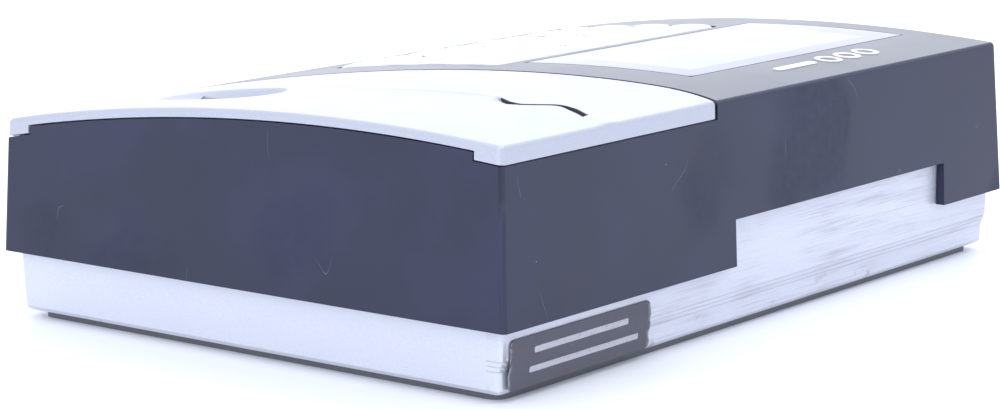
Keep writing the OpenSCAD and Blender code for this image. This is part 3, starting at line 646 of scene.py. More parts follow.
def freeze(piece: bpy.types.Object) -> bpy.types.Mesh:
    """Turn a piece's modifiers into its mesh, and return the mesh."""
    depsgraph = bpy.context.evaluated_depsgraph_get()
    mesh = bpy.data.meshes.new_from_object(piece.evaluated_get(depsgraph))
    piece.modifiers.clear()
    piece.data = mesh
    return mesh


def settle(piece: bpy.types.Object, angle: float = 32.0, weighted: bool = True) -> bpy.types.Object:
    """Freeze a piece's modifiers, mark its sharp edges and let its large faces lead its shading.

    Args:
        piece: the piece.
        angle: edges sharper than this, in degrees, stay sharp.
        weighted: whether face area weighs in the normals.

    Returns:
        The same piece.
    """
    mesh = freeze(piece)
    mesh.polygons.foreach_set("use_smooth", [True] * len(mesh.polygons))
    mesh.set_sharp_from_angle(angle=math.radians(angle))
    if weighted:
        lead = piece.modifiers.new("even_shading", "WEIGHTED_NORMAL")
        lead.mode, lead.weight, lead.keep_sharp = "FACE_AREA", 60, True
    return piece


def level_walls(piece: bpy.types.Object, near: float = 0.9965, form: "Form | None" = None,
                skin: float = 0.0) -> None:
    """Give upright faces that look along X or Y their own normal, so that cut walls stay flat.

    With a form, corners of upward faces on its dome get the dome's own normal, which is
    (0, y - dome_y, z) / dome_r with z measured from the dome's centre.

    Args:
        piece: a settled piece; its modifiers are frozen.
        near: the least cosine between a face's normal and X or Y that counts.
        form: the form whose dome the piece follows, if it does.
        skin: how far the piece lies under that dome.
    """
    mesh = freeze(piece)
    own = np.zeros(len(mesh.polygons) * 3)
    sizes = np.zeros(len(mesh.polygons), int)
    corners = np.zeros(len(mesh.loops) * 3)
    mesh.polygons.foreach_get("normal", own)
    mesh.polygons.foreach_get("loop_total", sizes)
    mesh.corner_normals.foreach_get("vector", corners)
    own, corners = own.reshape(-1, 3), corners.reshape(-1, 3)
    wall = np.repeat(np.abs(own[:, :2]).max(1) > near, sizes)
    corners[wall] = np.repeat(own, sizes, 0)[wall]
    if form is not None:
        where, used = np.zeros(len(mesh.vertices) * 3), np.zeros(len(mesh.loops), int)
        mesh.vertices.foreach_get("co", where)
        mesh.loops.foreach_get("vertex_index", used)
        at = where.reshape(-1, 3)[used] / MM
        over = np.abs(at[:, 2] - form.dome(at[:, 1]) + skin) < 0.03
        over &= np.repeat(own[:, 2] > 0.95, sizes)
        tilt = (at[:, 1] - form.dome_y) / form.dome_r
        corners[over] = np.stack([0 * tilt, tilt, np.sqrt(1 - tilt ** 2)], 1)[over]
    mesh.normals_split_custom_set(corners.tolist())


def carve(piece: bpy.types.Object, tool: bpy.types.Object, operation: str = "DIFFERENCE") -> None:
    """Cut a piece with a closed tool, then throw the tool away.

    Args:
        piece: what is cut.
        tool: the closed mesh that cuts it.
        operation: DIFFERENCE or INTERSECT.
    """
    cut = piece.modifiers.new("cut", "BOOLEAN")
    cut.operation, cut.object, cut.solver = operation, tool, "EXACT"
    freeze(piece)
    bpy.data.objects.remove(tool)


def merged_copy(node: str, name: str) -> bpy.types.Object:
    """A copy of a CAD node's mesh with its loose triangles merged.

    Args:
        node: the CAD node.
        name: the new piece's name.

    Returns:
        The new piece.
    """
    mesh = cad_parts[node].data.copy()
    mesh.materials.clear()
    piece = bpy.data.objects.new(name, mesh)
    bpy.context.scene.collection.objects.link(piece)
    weld = piece.modifiers.new("weld", "WELD")
    weld.merge_threshold = 2e-6
    return settle(piece, weighted=False)


def prism(name: str, outline: Array, low: float, high: float) -> bpy.types.Object:
    """A closed prism over an outline in X and Y, from one height to another."""
    count = len(outline)
    points = np.vstack([np.c_[outline, np.full(count, z)] for z in (low, high)])
    under, over = np.arange(count), np.arange(count) + count
    return make_mesh(name, points, [*ring_faces(under, over), under[::-1], over], smooth=False)


def round_outline(centre: Pair, radius: float, count: int = 40) -> Array:
    """Points round a circle."""
    turn = spread(0, 2 * math.pi, count + 1)[:-1]
    return np.c_[centre[0] + radius * np.cos(turn), centre[1] + radius * np.sin(turn)]


@dataclass
class Slab:
    """A closed piece between two height surfaces, over a patch of rows, with a rounded upper rim.

    Each row runs along X at one Y. The patch is the outline less the rim's radius. The rim goes
    from the patch's edge outwards along the edge's own normal by r sin(t) while it drops by
    r (1 - cos(t)), for t from 0 to 90 degrees. The wall then goes down to the lower surface. It
    leans out by flare for each unit of height, and the underside within it lies lower by foot.
    """

    rows: Array
    across: Array
    top: Height
    bottom: Height
    rim: float = 1.0
    rim_steps: int = 6
    flare: float = 0.0
    foot: float = 0.0

    def edge_loop(self) -> Array:
        """The vertex numbers of the patch's edge, anticlockwise from above."""
        m, k = self.across.shape
        number = np.arange(m * k).reshape(m, k)
        sides = number[0, :-1], number[:-1, -1], number[-1, :0:-1], number[:0:-1, 0]
        return np.concatenate(sides)

    def build(self, name: str, place: Callable[[Array], Array] | None = None) -> bpy.types.Object:
        """Make the piece.

        Args:
            name: its name.
            place: moves its points into the object's frame, if they were worked out elsewhere.

        Returns:
            The new object.
        """
        m, k = self.across.shape
        x = self.across.ravel()
        y = np.repeat(self.rows, k)
        loop = self.edge_loop()
        ex, ey = x[loop], y[loop]
        tangent = np.stack([np.roll(ex, -1) - np.roll(ex, 1), np.roll(ey, -1) - np.roll(ey, 1)])
        tangent /= np.maximum(np.hypot(*tangent), 1e-9)
        nx, ny = tangent[1], -tangent[0]
        parts = [np.c_[x, y, self.top(x, y)]]
        faces: list[Any] = [*grid_faces(m, k)]
        count = len(x)
        previous = loop
        for t in spread(0, math.pi / 2, self.rim_steps + 1)[1:]:
            out, drop = self.rim * math.sin(t), self.rim * (1 - math.cos(t))
            px, py = ex + nx * out, ey + ny * out
            parts.append(np.c_[px, py, self.top(px, py) - drop])
            ring = np.arange(len(loop)) + count
            faces.extend(ring_faces(ring, previous))
            previous, count = ring, count + len(loop)
        thick = self.top(px, py) - self.rim - self.bottom(px, py)
        px, py = px + nx * thick * self.flare, py + ny * thick * self.flare
        parts.append(np.c_[px, py, self.bottom(px, py)])
        ring = np.arange(len(loop)) + count
        faces.extend(ring_faces(ring, previous))
        previous, count = ring, count + len(loop)
        parts.append(np.c_[x, y, self.bottom(x, y) - self.foot])
        faces.extend(grid_faces(m, k, count, flip=True))
        faces.extend(ring_faces(loop + count, previous))
        points = np.vstack(parts)
        return make_mesh(name, place(points) if place else points, faces)


def bunched(start: float, end: float, radius: float, step: float, arc: int = 6) -> Array:
    """Positions from start to end, even in the middle and bunched at each end's round corner."""
    ends = radius * (1 - np.cos(spread(0, math.pi / 2, arc + 1)))
    count = max(2, int(round((end - start - 2 * radius) / step)))
    middle = spread(start + radius, end - radius, count + 1)
    return np.concatenate([start + ends[:-1], middle, end - ends[:-1][::-1]])


def corner_inset(distance: Array, radius: float) -> Array:
    """How far a round corner pulls a row's end in, at a distance from the patch's last row."""
    left = np.clip(radius - distance, 0, radius)
    return radius - np.sqrt(np.maximum(radius ** 2 - left ** 2, 0))


# ---------------------------------------------------------------- sub-assemblies


@dataclass
class Form:
    """The terminal's shared shape: the domed front and the leaning walls."""

    length: float = 195.0
    width: float = 133.6
    crown: float = 51.3
    dome_r: float = 479.7
    dome_y: float = 25.0
    rim_z: float = 14.5
    lean_right: float = 0.033
    lean_left: float = 0.065
    lean_top: float = 0.044
    edge_x: float = 19.3
    edge_y: float = 45.85
    edge_r_low: float = 260.0
    edge_r_top: float = 40.0

    def dome(self, y: Array) -> Array:
        """Height of the front at a Y: a circle of dome_r whose highest point is at dome_y."""
        return self.crown - self.dome_r + np.sqrt(self.dome_r ** 2 - (y - self.dome_y) ** 2)

    def right(self, z: Array) -> Array:
        """X of the right wall at a height."""
        return self.length / 2 - self.lean_right * (z - self.rim_z)

    def left(self, z: Array) -> Array:
        """X of the left wall at a height."""
        return -self.length / 2 + self.lean_left * (z - self.rim_z)

    def side(self, z: Array) -> Array:
        """Half the width between the top and bottom walls at a height."""
        return self.width / 2 - self.lean_top * (z - self.rim_z)

    def cover_edge(self, y: Array, inset: float = 0.0) -> Array:
        """X of the cover's curved edge at a Y: a wide arc below edge_y and a tight one above."""
        low = self.edge_x + self.edge_r_low - np.sqrt(
            np.maximum((self.edge_r_low - inset) ** 2 - (y - self.edge_y) ** 2, 0))
        top = self.edge_x + self.edge_r_top - np.sqrt(
            np.maximum((self.edge_r_top - inset) ** 2 - (y - self.edge_y) ** 2, 0))
        return np.where(y < self.edge_y, low, top)


@dataclass
class Housing:
    """The black front housing: the CAD shell, trimmed by a form whose front edges are rounded."""

    form: Form
    skin: float = 0.06
    edge_r: float = 0.9
    corner_r: float = 1.0
    corner_steps: int = 6
    edge_steps: int = 7
    row_step: float = 2.0
    mid_z: float = 30.0
    first_z: float = 45.0
    rounds: int = 6

    def outline(self, z: Array, inset: float) -> Array:
        """Points round the wall, each at its own height: the right side's rows, then the left's.

        A rectangle of the walls at that height, with corners of corner_r less the inset. Both ends
        of a row have the same Y, so that straight lines along X join them.

        Args:
            z: the height of each point.
            inset: how far inside the wall.

        Returns:
            X and Y of each point.
        """
        f = self.form
        r = max(self.corner_r - inset, 0.3)
        arc = spread(0, math.pi / 2, self.corner_steps + 1)
        share = self.shares
        n, m = len(arc), len(share)
        gap = inset + self.skin
        zr = z.reshape(2, -1)
        top = np.stack([f.side(z) - gap for z in zr])
        right, left = f.right(zr[0]) - gap, f.left(zr[1]) + gap
        sides = []
        for w, t in zip((right, -left), top):
            y = np.concatenate([
                -t[:n] + r - r * np.cos(arc),
                (-t + r)[n:n + m] + share * (2 * t - 2 * r)[n:n + m],
                t[n + m:] - r + r * np.sin(arc)])
            x = np.concatenate([
                w[:n] - r + r * np.sin(arc), w[n:n + m], w[n + m:] - r + r * np.cos(arc)])
            sides.append((x, y))
        (xr, yr), (xl, yl) = sides
        return np.stack([np.concatenate([xr, -xl]), np.concatenate([yr, yl])])

    @property
    def shares(self) -> Array:
        """Shares of the way up a side wall, without its ends."""
        count = int(2 * self.form.side(np.array(40.0)) / self.row_step)
        return spread(0, 1, count + 2)[1:-1]

    def ring(self, drop: float, inset: float, low: float | None = None) -> Array:
        """One ring of the form.

        Args:
            drop: how far below the dome.
            inset: how far inside the wall.
            low: a height that the whole ring has instead.

        Returns:
            Points, the right side's rows first and then the left side's.
        """
        count = 2 * (self.corner_steps + 1) + len(self.shares)
        z = np.full(2 * count, self.first_z if low is None else low)
        for _ in range(self.rounds if low is None else 1):
            x, y = self.outline(z, inset)
            if low is None:
                z = self.form.dome(y) - self.skin - drop
        return np.c_[x, y, z]

    def shape(self) -> bpy.types.Object:
        """The closed form: wall rings, rim rings and a front of straight strips along X."""
        r = self.edge_r
        rings = [self.ring(0, 0, low=self.form.rim_z - 1.0), self.ring(0, 0, low=self.mid_z)]
        for t in spread(0, math.pi / 2, self.edge_steps + 1):
            rings.append(self.ring(r * (1 - math.sin(t)), r * (1 - math.cos(t))))
        count = len(rings[0])
        half = count // 2
        loop = np.concatenate([np.arange(half), np.arange(count - 1, half - 1, -1)])
        faces = tube_faces(loop, len(rings), count)
        last = (len(rings) - 1) * count
        a = np.arange(half - 1) + last
        faces.extend(np.stack([a, a + 1, a + half + 1, a + half], 1))
        faces.append(loop[::-1])
        return make_mesh("front_form", np.vstack(rings), faces)

    def build(self) -> None:
        """Trim a copy of the CAD shell by the form and dress it."""
        shell = merged_copy("front_housing", "front_shell")
        carve(shell, self.shape(), "INTERSECT")
        level_walls(settle(shell), form=self.form, skin=self.skin)
        dress(shell, Finish.HOUSING, "terminal", "front_housing")


@dataclass
class Cover:
    """The silver sensor cover: a domed plate with deeper end bands, a guide line and a scoop."""

    form: Form
    thickness: float = 1.9
    band: float = 3.6
    band_w: float = 6.4
    rim: float = 0.9
    skin: float = 0.06
    guide: tuple[Pair, ...] = (
        (-66, 63.0), (-45, 61.2), (-24.5, 59.4), (-17.2, 58.4), (-5.7, 58.4), (6.7, 58.8),
        (16.1, 56.6), (25.5, 55.6), (33.2, 55.6), (38.7, 58.6), (41.3, 58.9), (43.8, 57.0),
        (46.6, 54.4), (51.0, 54.9), (57.3, 58.6), (61.5, 60.6), (66.8, 62.8))
    slit_low: float = 34.2
    slit_high: float = 57.4
    slit_w: float = 0.9
    slit_d: float = 1.0
    ridge_h: float = 0.26
    ridge_w: float = 1.1
    scoop_x: float = 71.0
    scoop_low: float = -37.0
    scoop_high: float = -23.0
    scoop_r: float = 11.0
    scoop_z: float = 43.5366
    scoop_lip: float = 1.6
    glass_l: float = 13.6
    glass_w: float = 18.6
    glass_y: float = -30.0
    light_y: float = -4.0
    light_gap: float = 7.0
    light_r: float = 1.6
    tool_z: Pair = (30.0, 60.0)

    def guide_x(self, y: Array) -> Array:
        """X of the guide line at a Y: cubic Hermite pieces through its points."""
        p = np.array(self.guide)
        slope = np.gradient(p[:, 1], p[:, 0])
        k = np.clip(np.searchsorted(p[:, 0], y) - 1, 0, len(p) - 2)
        h = p[k + 1, 0] - p[k, 0]
        t = (y - p[k, 0]) / h
        return ((2 * t ** 3 - 3 * t ** 2 + 1) * p[k, 1]
                + (t ** 3 - 2 * t ** 2 + t) * h * slope[k]
                + (3 * t ** 2 - 2 * t ** 3) * p[k + 1, 1] + (t ** 3 - t ** 2) * h * slope[k + 1])

    def scoop(self, x: Array, y: Array) -> Array:
        """Height of the scoop: a tube's lower half with ball ends, rising fast beyond them."""
        past = np.maximum(np.maximum(self.scoop_low - y, y - self.scoop_high), 0)
        away = np.hypot(x - self.scoop_x, past)
        centre = self.scoop_z + self.scoop_r
        bowl = centre - np.sqrt(np.maximum(self.scoop_r ** 2 - away ** 2, 0))
        return np.where(away < self.scoop_r * 0.98, bowl, centre + (away - self.scoop_r) * 3)

    def top(self, x: Array, y: Array) -> Array:
        """Height of the face: the dome, with a soft-edged scoop, the guide's ridge and its slit.

        The scoop and the dome meet by a smooth minimum whose width is scoop_lip. The ridge is a
        bell curve across the guide line. The slit is a trough between slit_low and slit_high.
        """
        base = self.form.dome(y) - self.skin
        gap = (self.scoop(x, y) - base) / self.scoop_lip
        blend = np.clip(0.5 + 0.5 * gap, 0, 1)
        z = self.scoop(x, y) * (1 - blend) + base * blend - self.scoop_lip * blend * (1 - blend)
        off = x - self.guide_x(y)
        slit = ease(y, self.slit_low - 0.8, self.slit_low + 0.6)
        slit = slit * (1 - ease(y, self.slit_high - 0.6, self.slit_high + 0.8))
        widen = 1 + 1.1 * ease(y, 55, 66)
        fade = 0.35 + 0.65 * ease(y, -30, 20)
        ridge = self.ridge_h * np.exp(-(off / (self.ridge_w * widen)) ** 2) * (1 - slit) * fade
        step = self.dip(y) * (1 - ease(off, 0.6, 5.5)) * ease(off, -0.3, 0.1) * slit
        across = 1 - ease(np.abs(off), self.slit_w * 0.45, self.slit_w * 0.62)
        trough = self.slit_d * slit * across
        return z + ridge - step - trough

    def dip(self, y: Array) -> Array:
        """How far the face dips beside the slit: more towards its ends than in its middle."""
        return 0.08 + 0.34 * (1 - ease(y, 37.0, 41.5)) + 0.34 * ease(y, 47.5, 52.5)

    def slit_shade_strip(self) -> bpy.types.Object:
        """A dark strip of painted shade on the far wall of the slit, up to just under its edge."""
        y = spread(self.slit_low - 0.2, self.slit_high + 0.2, 90)
        x = self.guide_x(y) - self.slit_w * 0.5
        high = self.form.dome(y) - self.skin - 0.03
        low = high - 0.7
        near, far = x + 0.12, x - 0.04
        corners = ((near, high), (far, high), (far, low), (near, low))
        rings = np.stack([np.c_[at, y, z] for at, z in corners], 1)
        ring, count = np.arange(4), len(y)
        faces = [ring[::-1], ring + 4 * (count - 1), *tube_faces(ring, count, 4)]
        return make_mesh("guide_slit_shade", rings.reshape(-1, 3), faces, smooth=False)

    def bottom(self, x: Array, y: Array) -> Array:
        """Height of the underside: deeper under the end bands, and below the scoop."""
        side = self.form.side(self.form.dome(y)) - self.band_w
        depth = np.where(np.abs(y) > side, self.band, self.thickness)
        return np.minimum(self.form.dome(y) - depth, self.scoop(x, y) - 2.0)

    def patch(self) -> Slab:
        """Rows and columns of the cover's face, with columns bunched beside the guide line."""
        f, r = self.form, self.rim + self.skin
        z_top, z_low = f.dome(np.array(65.0)) - r, f.dome(np.array(-65.0)) - r
        y0, y1 = -(f.side(z_low) - r), f.side(z_top) - r
        rows = bunched(y0, y1, 0.5, 0.62)
        extra = []
        for sign in (-1, 1):
            edge = sign * (f.side(f.dome(np.array(sign * 60.0))) - self.band_w)
            rows = rows[np.abs(rows - edge) > 0.25]
            extra += [edge - 0.01, edge + 0.01]
        rows = np.sort(np.concatenate([rows, extra, self.slit_low + spread(-0.8, 0.6, 7),
                                       self.slit_high + spread(-0.6, 0.8, 7)]))
        rows = rows[np.concatenate([[True], np.diff(rows) > 0.015])]
        from_end = np.minimum(rows - y0, y1 - rows)
        right = f.right(f.dome(rows) - r) - r - corner_inset(from_end, 0.5)
        left = f.cover_edge(rows, r) + corner_inset(y1 - rows, 0.5) + corner_inset(rows - y0, 0.5)
        guide = self.guide_x(rows)
        beside = np.array([-5, -3.6, -2.6, -1.9, -1.4, -1.0, -0.7, -0.45, -0.3, -0.26, -0.22, -0.18,
                           -0.1, 0])
        middle = np.concatenate([beside, -beside[-2::-1]])
        columns = [left[:, None] + (guide - 5 - left)[:, None] * spread(0, 1, 34)[None, :-1],
                   guide[:, None] + middle[None, :],
                   (guide + 5)[:, None] + (right - guide - 5)[:, None] * spread(0, 1, 56)[None, 1:]]
        return Slab(rows, np.hstack(columns), self.top, self.bottom, self.rim, 6, flare=0.04,
                    foot=0.27)

    def build(self) -> None:
        """Make the cover, cut its window and light holes, put a strip of painted shade in its slit,
        and dress both pieces.
        """
        cover = self.patch().build("cover_face")
        half = np.array([self.glass_l, self.glass_w]) / 2
        window = np.array([[-1, -1], [1, -1], [1, 1], [-1, 1]]) * half
        window = window + [self.scoop_x, self.glass_y]
        carve(cover, prism("window_tool", window, *self.tool_z))
        for side in (-1, 1):
            hole = round_outline((self.scoop_x + side * self.light_gap, self.light_y), self.light_r)
            carve(cover, prism("light_tool", hole, *self.tool_z))
        settle(cover, 40)
        dress(cover, Finish.COVER, "terminal", "sensor_cover")
        # The slit's strip is painted shade: a black sheet where the slit's far wall is only in
        # shade.
        dress(self.slit_shade_strip(), Finish.CHIP, "terminal")


@dataclass
class Lens:
    """The display lens between two arcs that follow the cover's edge."""

    form: Form
    low: float = 4.25
    high: float = 45.85
    strip: float = 14.7
    length: float = 90.0
    rim: float = 0.3
    thickness: float = 1.8
    skin: float = 0.05
    corner_r: float = 1.5

    def build(self) -> None:
        """Make the lens and dress it."""
        f, r = self.form, self.rim
        rows = bunched(self.low + r, self.high - r, self.corner_r, 1.1)
        cx, cy = f.edge_x + f.edge_r_low, f.edge_y
        right_r = f.edge_r_low + self.strip + r
        left_r = f.edge_r_low + self.strip + self.length - r
        right = (cx - np.sqrt(right_r ** 2 - (rows - cy) ** 2)
                 - corner_inset(self.high - r - rows, self.corner_r))
        left = cx - np.sqrt(left_r ** 2 - (rows - cy) ** 2)
        across = left[:, None] + (right - left)[:, None] * spread(0, 1, 40)[None, :]
        lens = Slab(rows, across, lambda x, y: f.dome(y) - self.skin,
                    lambda x, y: f.dome(y) - self.thickness, r, 3)
        piece = settle(lens.build("lens_face"))
        dress(piece, Finish.LENS, "terminal", "display_lens")


class Legend(Enum):
    """What is printed on the keys, row by row from the top left."""

    ONE = "1"
    TWO = "2"
    THREE = "3"
    UP = "up"
    FOUR = "4"
    FIVE = "5"
    SIX = "6"
    DOWN = "down"
    SEVEN = "7"
    EIGHT = "8"
    NINE = "9"
    CANCEL = "cross"
    POWER = "ring"
    ZERO = "0"
    BACK = "back"
    ENTER = "tick"


@dataclass
class Keypad:
    """Sixteen silver keys with a slight pillow, each riding on its own body, and their legends."""

    form: Form
    pitch_x: float = 22.2
    pitch_y: float = 11.9
    gap: float = 0.7
    radius: float = 3.0
    rim: float = 1.0
    crown: float = 0.85
    proud: float = 0.8
    depth: float = 3.4
    middle: Pair = (-30.0, -22.05)
    digit: float = 5.0
    ink: float = 0.03
    ink_depth: float = 0.05

    def __post_init__(self) -> None:
        """Work out the tilt of the pad, which is tangent to the dome at its middle."""
        y = self.middle[1]
        self.tilt = math.asin((self.form.dome_y - y) / self.form.dome_r)
        self.height = float(self.form.dome(np.array(y)))

    def centre(self, n: int) -> Pair:
        """A key's middle on the pad."""
        return ((n - 1) % 4 - 1.5) * self.pitch_x, (1.5 - (n - 1) // 4) * self.pitch_y

    def face(self, n: int) -> Height:
        """Height of a key's face on the pad: the dome's curve less a crown towards its edges."""
        cx, cy = self.centre(n)
        a, b = (self.pitch_x - self.gap) / 2, (self.pitch_y - self.gap) / 2

        def height(x: Array, y: Array) -> Array:
            """The dome's curve, set proud, less the crown's two bowls."""
            curve = np.sqrt((self.form.dome_r + self.proud) ** 2 - y ** 2) - self.form.dome_r
            u, v = (x - cx) / a, (y - cy) / b
            return curve - self.crown * (0.55 * u ** 4 + 0.75 * v ** 2) - 0.02

        return height

    def on_pad(self, points: Array) -> Array:
        """Tilt points about X and move them to the pad's middle."""
        c, s = math.cos(self.tilt), math.sin(self.tilt)
        x, y, z = points.T
        turned = y * c - z * s + self.middle[1], y * s + z * c + self.height
        return np.c_[x + self.middle[0], turned[0], turned[1]]

    def cap(self, n: int) -> bpy.types.Object:
        """One key's cap."""
        cx, cy = self.centre(n)
        a = (self.pitch_x - self.gap) / 2 - self.rim
        b = (self.pitch_y - self.gap) / 2 - self.rim
        inner = self.radius - self.rim
        rows = bunched(cy - b, cy + b, inner, 0.8, 5)
        pull = corner_inset(np.minimum(rows - (cy - b), cy + b - rows), inner)
        across = cx + (a - pull)[:, None] * spread(-1, 1, 25)[None, :]
        slab = Slab(rows, across, self.face(n), lambda x, y: np.full_like(x, -self.depth), self.rim)
        return slab.build(f"key_{n}_cap", self.on_pad)

    def stroke(self, points: Sequence[Pair], width: float,
               closed: bool = False) -> tuple[Array, list]:
        """A flat ribbon along a path: each point gets two vertices half the width to either side.

        Args:
            points: the path.
            width: the ribbon's width.
            closed: whether its ends join.

        Returns:
            Vertices and faces of the ribbon.
        """
        p = np.array(points, float)
        if closed:
            along = np.roll(p, -1, 0) - np.roll(p, 1, 0)
        else:
            along = np.gradient(p, axis=0)
        along /= np.hypot(*along.T)[:, None]
        side = np.c_[along[:, 1], -along[:, 0]] * width / 2
        ribbon = np.stack([p + side, p - side], 1).reshape(-1, 2)
        last = len(p) if closed else len(p) - 1
        faces = [[2 * i, (2 * i + 2) % len(ribbon), (2 * i + 3) % len(ribbon), 2 * i + 1]
                 for i in range(last)]
        return ribbon, faces

    def symbol(self, legend: Legend) -> tuple[Array, list]:
        """The flat shape of a legend, about 5 mm high, as vertices and faces."""
        if legend in (Legend.UP, Legend.DOWN, Legend.BACK):
            turn = {Legend.UP: 0, Legend.DOWN: math.pi, Legend.BACK: math.pi / 2}[legend]
            shape = np.array([(-1.9, -1.3), (1.9, -1.3), (0.0, 1.9)])
            c, s = math.cos(turn), math.sin(turn)
            return shape @ np.array([[c, s], [-s, c]]), [[0, 1, 2]]
        if legend is Legend.CANCEL:
            first, faces = self.stroke([(-1.6, -1.6), (0, 0), (1.6, 1.6)], 0.7)
            second = first * [-1, 1]
            turned = [[i + len(first) for i in f][::-1] for f in faces]
            return np.vstack([first, second]), faces + turned
        if legend is Legend.ENTER:
            return self.stroke([(-1.9, 0.1), (-0.6, -1.4), (2.0, 1.6)], 0.75)
        turn = spread(0, 2 * math.pi, 33)[:-1]
        return self.stroke([(1.7 * math.cos(t), 1.7 * math.sin(t)) for t in turn], 0.65, True)

    def digit_shape(self, text: str) -> tuple[Array, list]:
        """The flat shape of a digit from the built-in font, as vertices and faces."""
        curve = bpy.data.curves.new("digit", "FONT")
        curve.body, curve.size = text, self.digit
        curve.align_x, curve.align_y = "CENTER", "CENTER"
        curve.resolution_u = 4
        holder = bpy.data.objects.new("digit", curve)
        bpy.context.scene.collection.objects.link(holder)
        depsgraph = bpy.context.evaluated_depsgraph_get()
        mesh = bpy.data.meshes.new_from_object(holder.evaluated_get(depsgraph))
        flat = np.zeros(len(mesh.vertices) * 3)
        mesh.vertices.foreach_get("co", flat)
        faces = [list(p.vertices) for p in mesh.polygons]
        bpy.data.objects.remove(holder)
        shape = flat.reshape(-1, 3)[:, :2]
        return shape - (shape.max(0) + shape.min(0)) / 2, faces

    def legend(self, n: int, legend: Legend) -> bpy.types.Object:
        """One key's legend: a thin closed print that follows the key's face."""
        digit = legend.value.isdigit()
        flat, faces = self.digit_shape(legend.value) if digit else self.symbol(legend)
        cx, cy = self.centre(n)
        x, y = flat[:, 0] + cx, flat[:, 1] + cy
        z = self.face(n)(x, y)
        points = self.on_pad(np.c_[x, y, z + self.ink])
        piece = make_mesh(f"key_{n}_print", points, faces, smooth=False)
        thick = piece.modifiers.new("ink", "SOLIDIFY")
        thick.thickness, thick.offset = self.ink_depth * MM, -1
        weld = piece.modifiers.new("weld", "WELD")
        weld.merge_threshold = 1e-6
        return settle(piece, weighted=False)

    def build(self) -> None:
        """Make every key and its legend, and dress them."""
        for n, legend in enumerate(Legend, 1):
            cap = settle(self.cap(n), 60)
            dress(cap, Finish.KEY, f"key_{n}", f"key_{n}")
            dress(self.legend(n, legend), Finish.LEGEND, f"key_{n}")


@dataclass
class Case:
    """The silver rear case: the CAD tray, trimmed by a form with round corners and foot."""

    form: Form
    length: float = 190.2
    width: float = 128.8
    low: float = 1.6
    lean: float = 0.04
    foot_r: float = 1.0
    corner_r: float = 1.2
    skin: float = 0.04
    step_d: float = 0.35
    steps: tuple[float, ...] = (8.4, 7.4, 6.4)
    step_blend: float = 0.12

    def side_in(self, z: Array) -> Array:
        """How far the top wall stands back at a height: small steps, each with a short slope."""
        back = sum(self.step_d * (1 - ease(z, at - 2 * self.step_blend, at)) for at in self.steps)
        return np.asarray(back, float)

    def shape(self) -> bpy.types.Object:
        """The closed form: round-cornered rectangles up the wall, above a quarter-round foot."""
        f = self.form
        heights = np.unique(np.round(np.concatenate(
            [self.low + self.foot_r * (1 - np.cos(spread(0, math.pi / 2, 7))), [f.rim_z, 28.0]]
            + [at - self.step_blend * 2 * spread(0, 1, 5) for at in self.steps]), 4))
        rings = []
        arc = spread(0, math.pi / 2, 9)
        for z in heights:
            foot = max(self.foot_r - (z - self.low), 0)
            tuck = self.foot_r - math.sqrt(max(self.foot_r ** 2 - foot ** 2, 0)) + self.skin
            back = self.lean * max(f.rim_z - z, 0) + tuck
            w, lx, r = self.width / 2, self.length / 2 - back, self.corner_r
            y1 = w - tuck - float(self.side_in(np.array(z)))
            y0 = -(w - back)
            corners = ((lx - r, y0 + r, -math.pi / 2), (lx - r, y1 - r, 0.0),
                       (-lx + r, y1 - r, math.pi / 2), (-lx + r, y0 + r, math.pi))
            flat = np.vstack([np.c_[cx + r * np.cos(arc + start), cy + r * np.sin(arc + start)]
                              for cx, cy, start in corners])
            rings.append(np.c_[flat, np.full(len(flat), z)])
        count = len(rings[0])
        loop = np.arange(count)
        faces = [loop[::-1], loop + (len(rings) - 1) * count, *tube_faces(loop, len(rings), count)]
        return make_mesh("case_form", np.vstack(rings), faces)

    def build(self) -> None:
        """Trim a copy of the CAD tray by the form and dress it."""
        tray = merged_copy("rear_case", "case_tray")
        carve(tray, self.shape(), "INTERSECT")
        level_walls(settle(tray))
        dress(tray, Finish.CASE, "terminal", "rear_case")


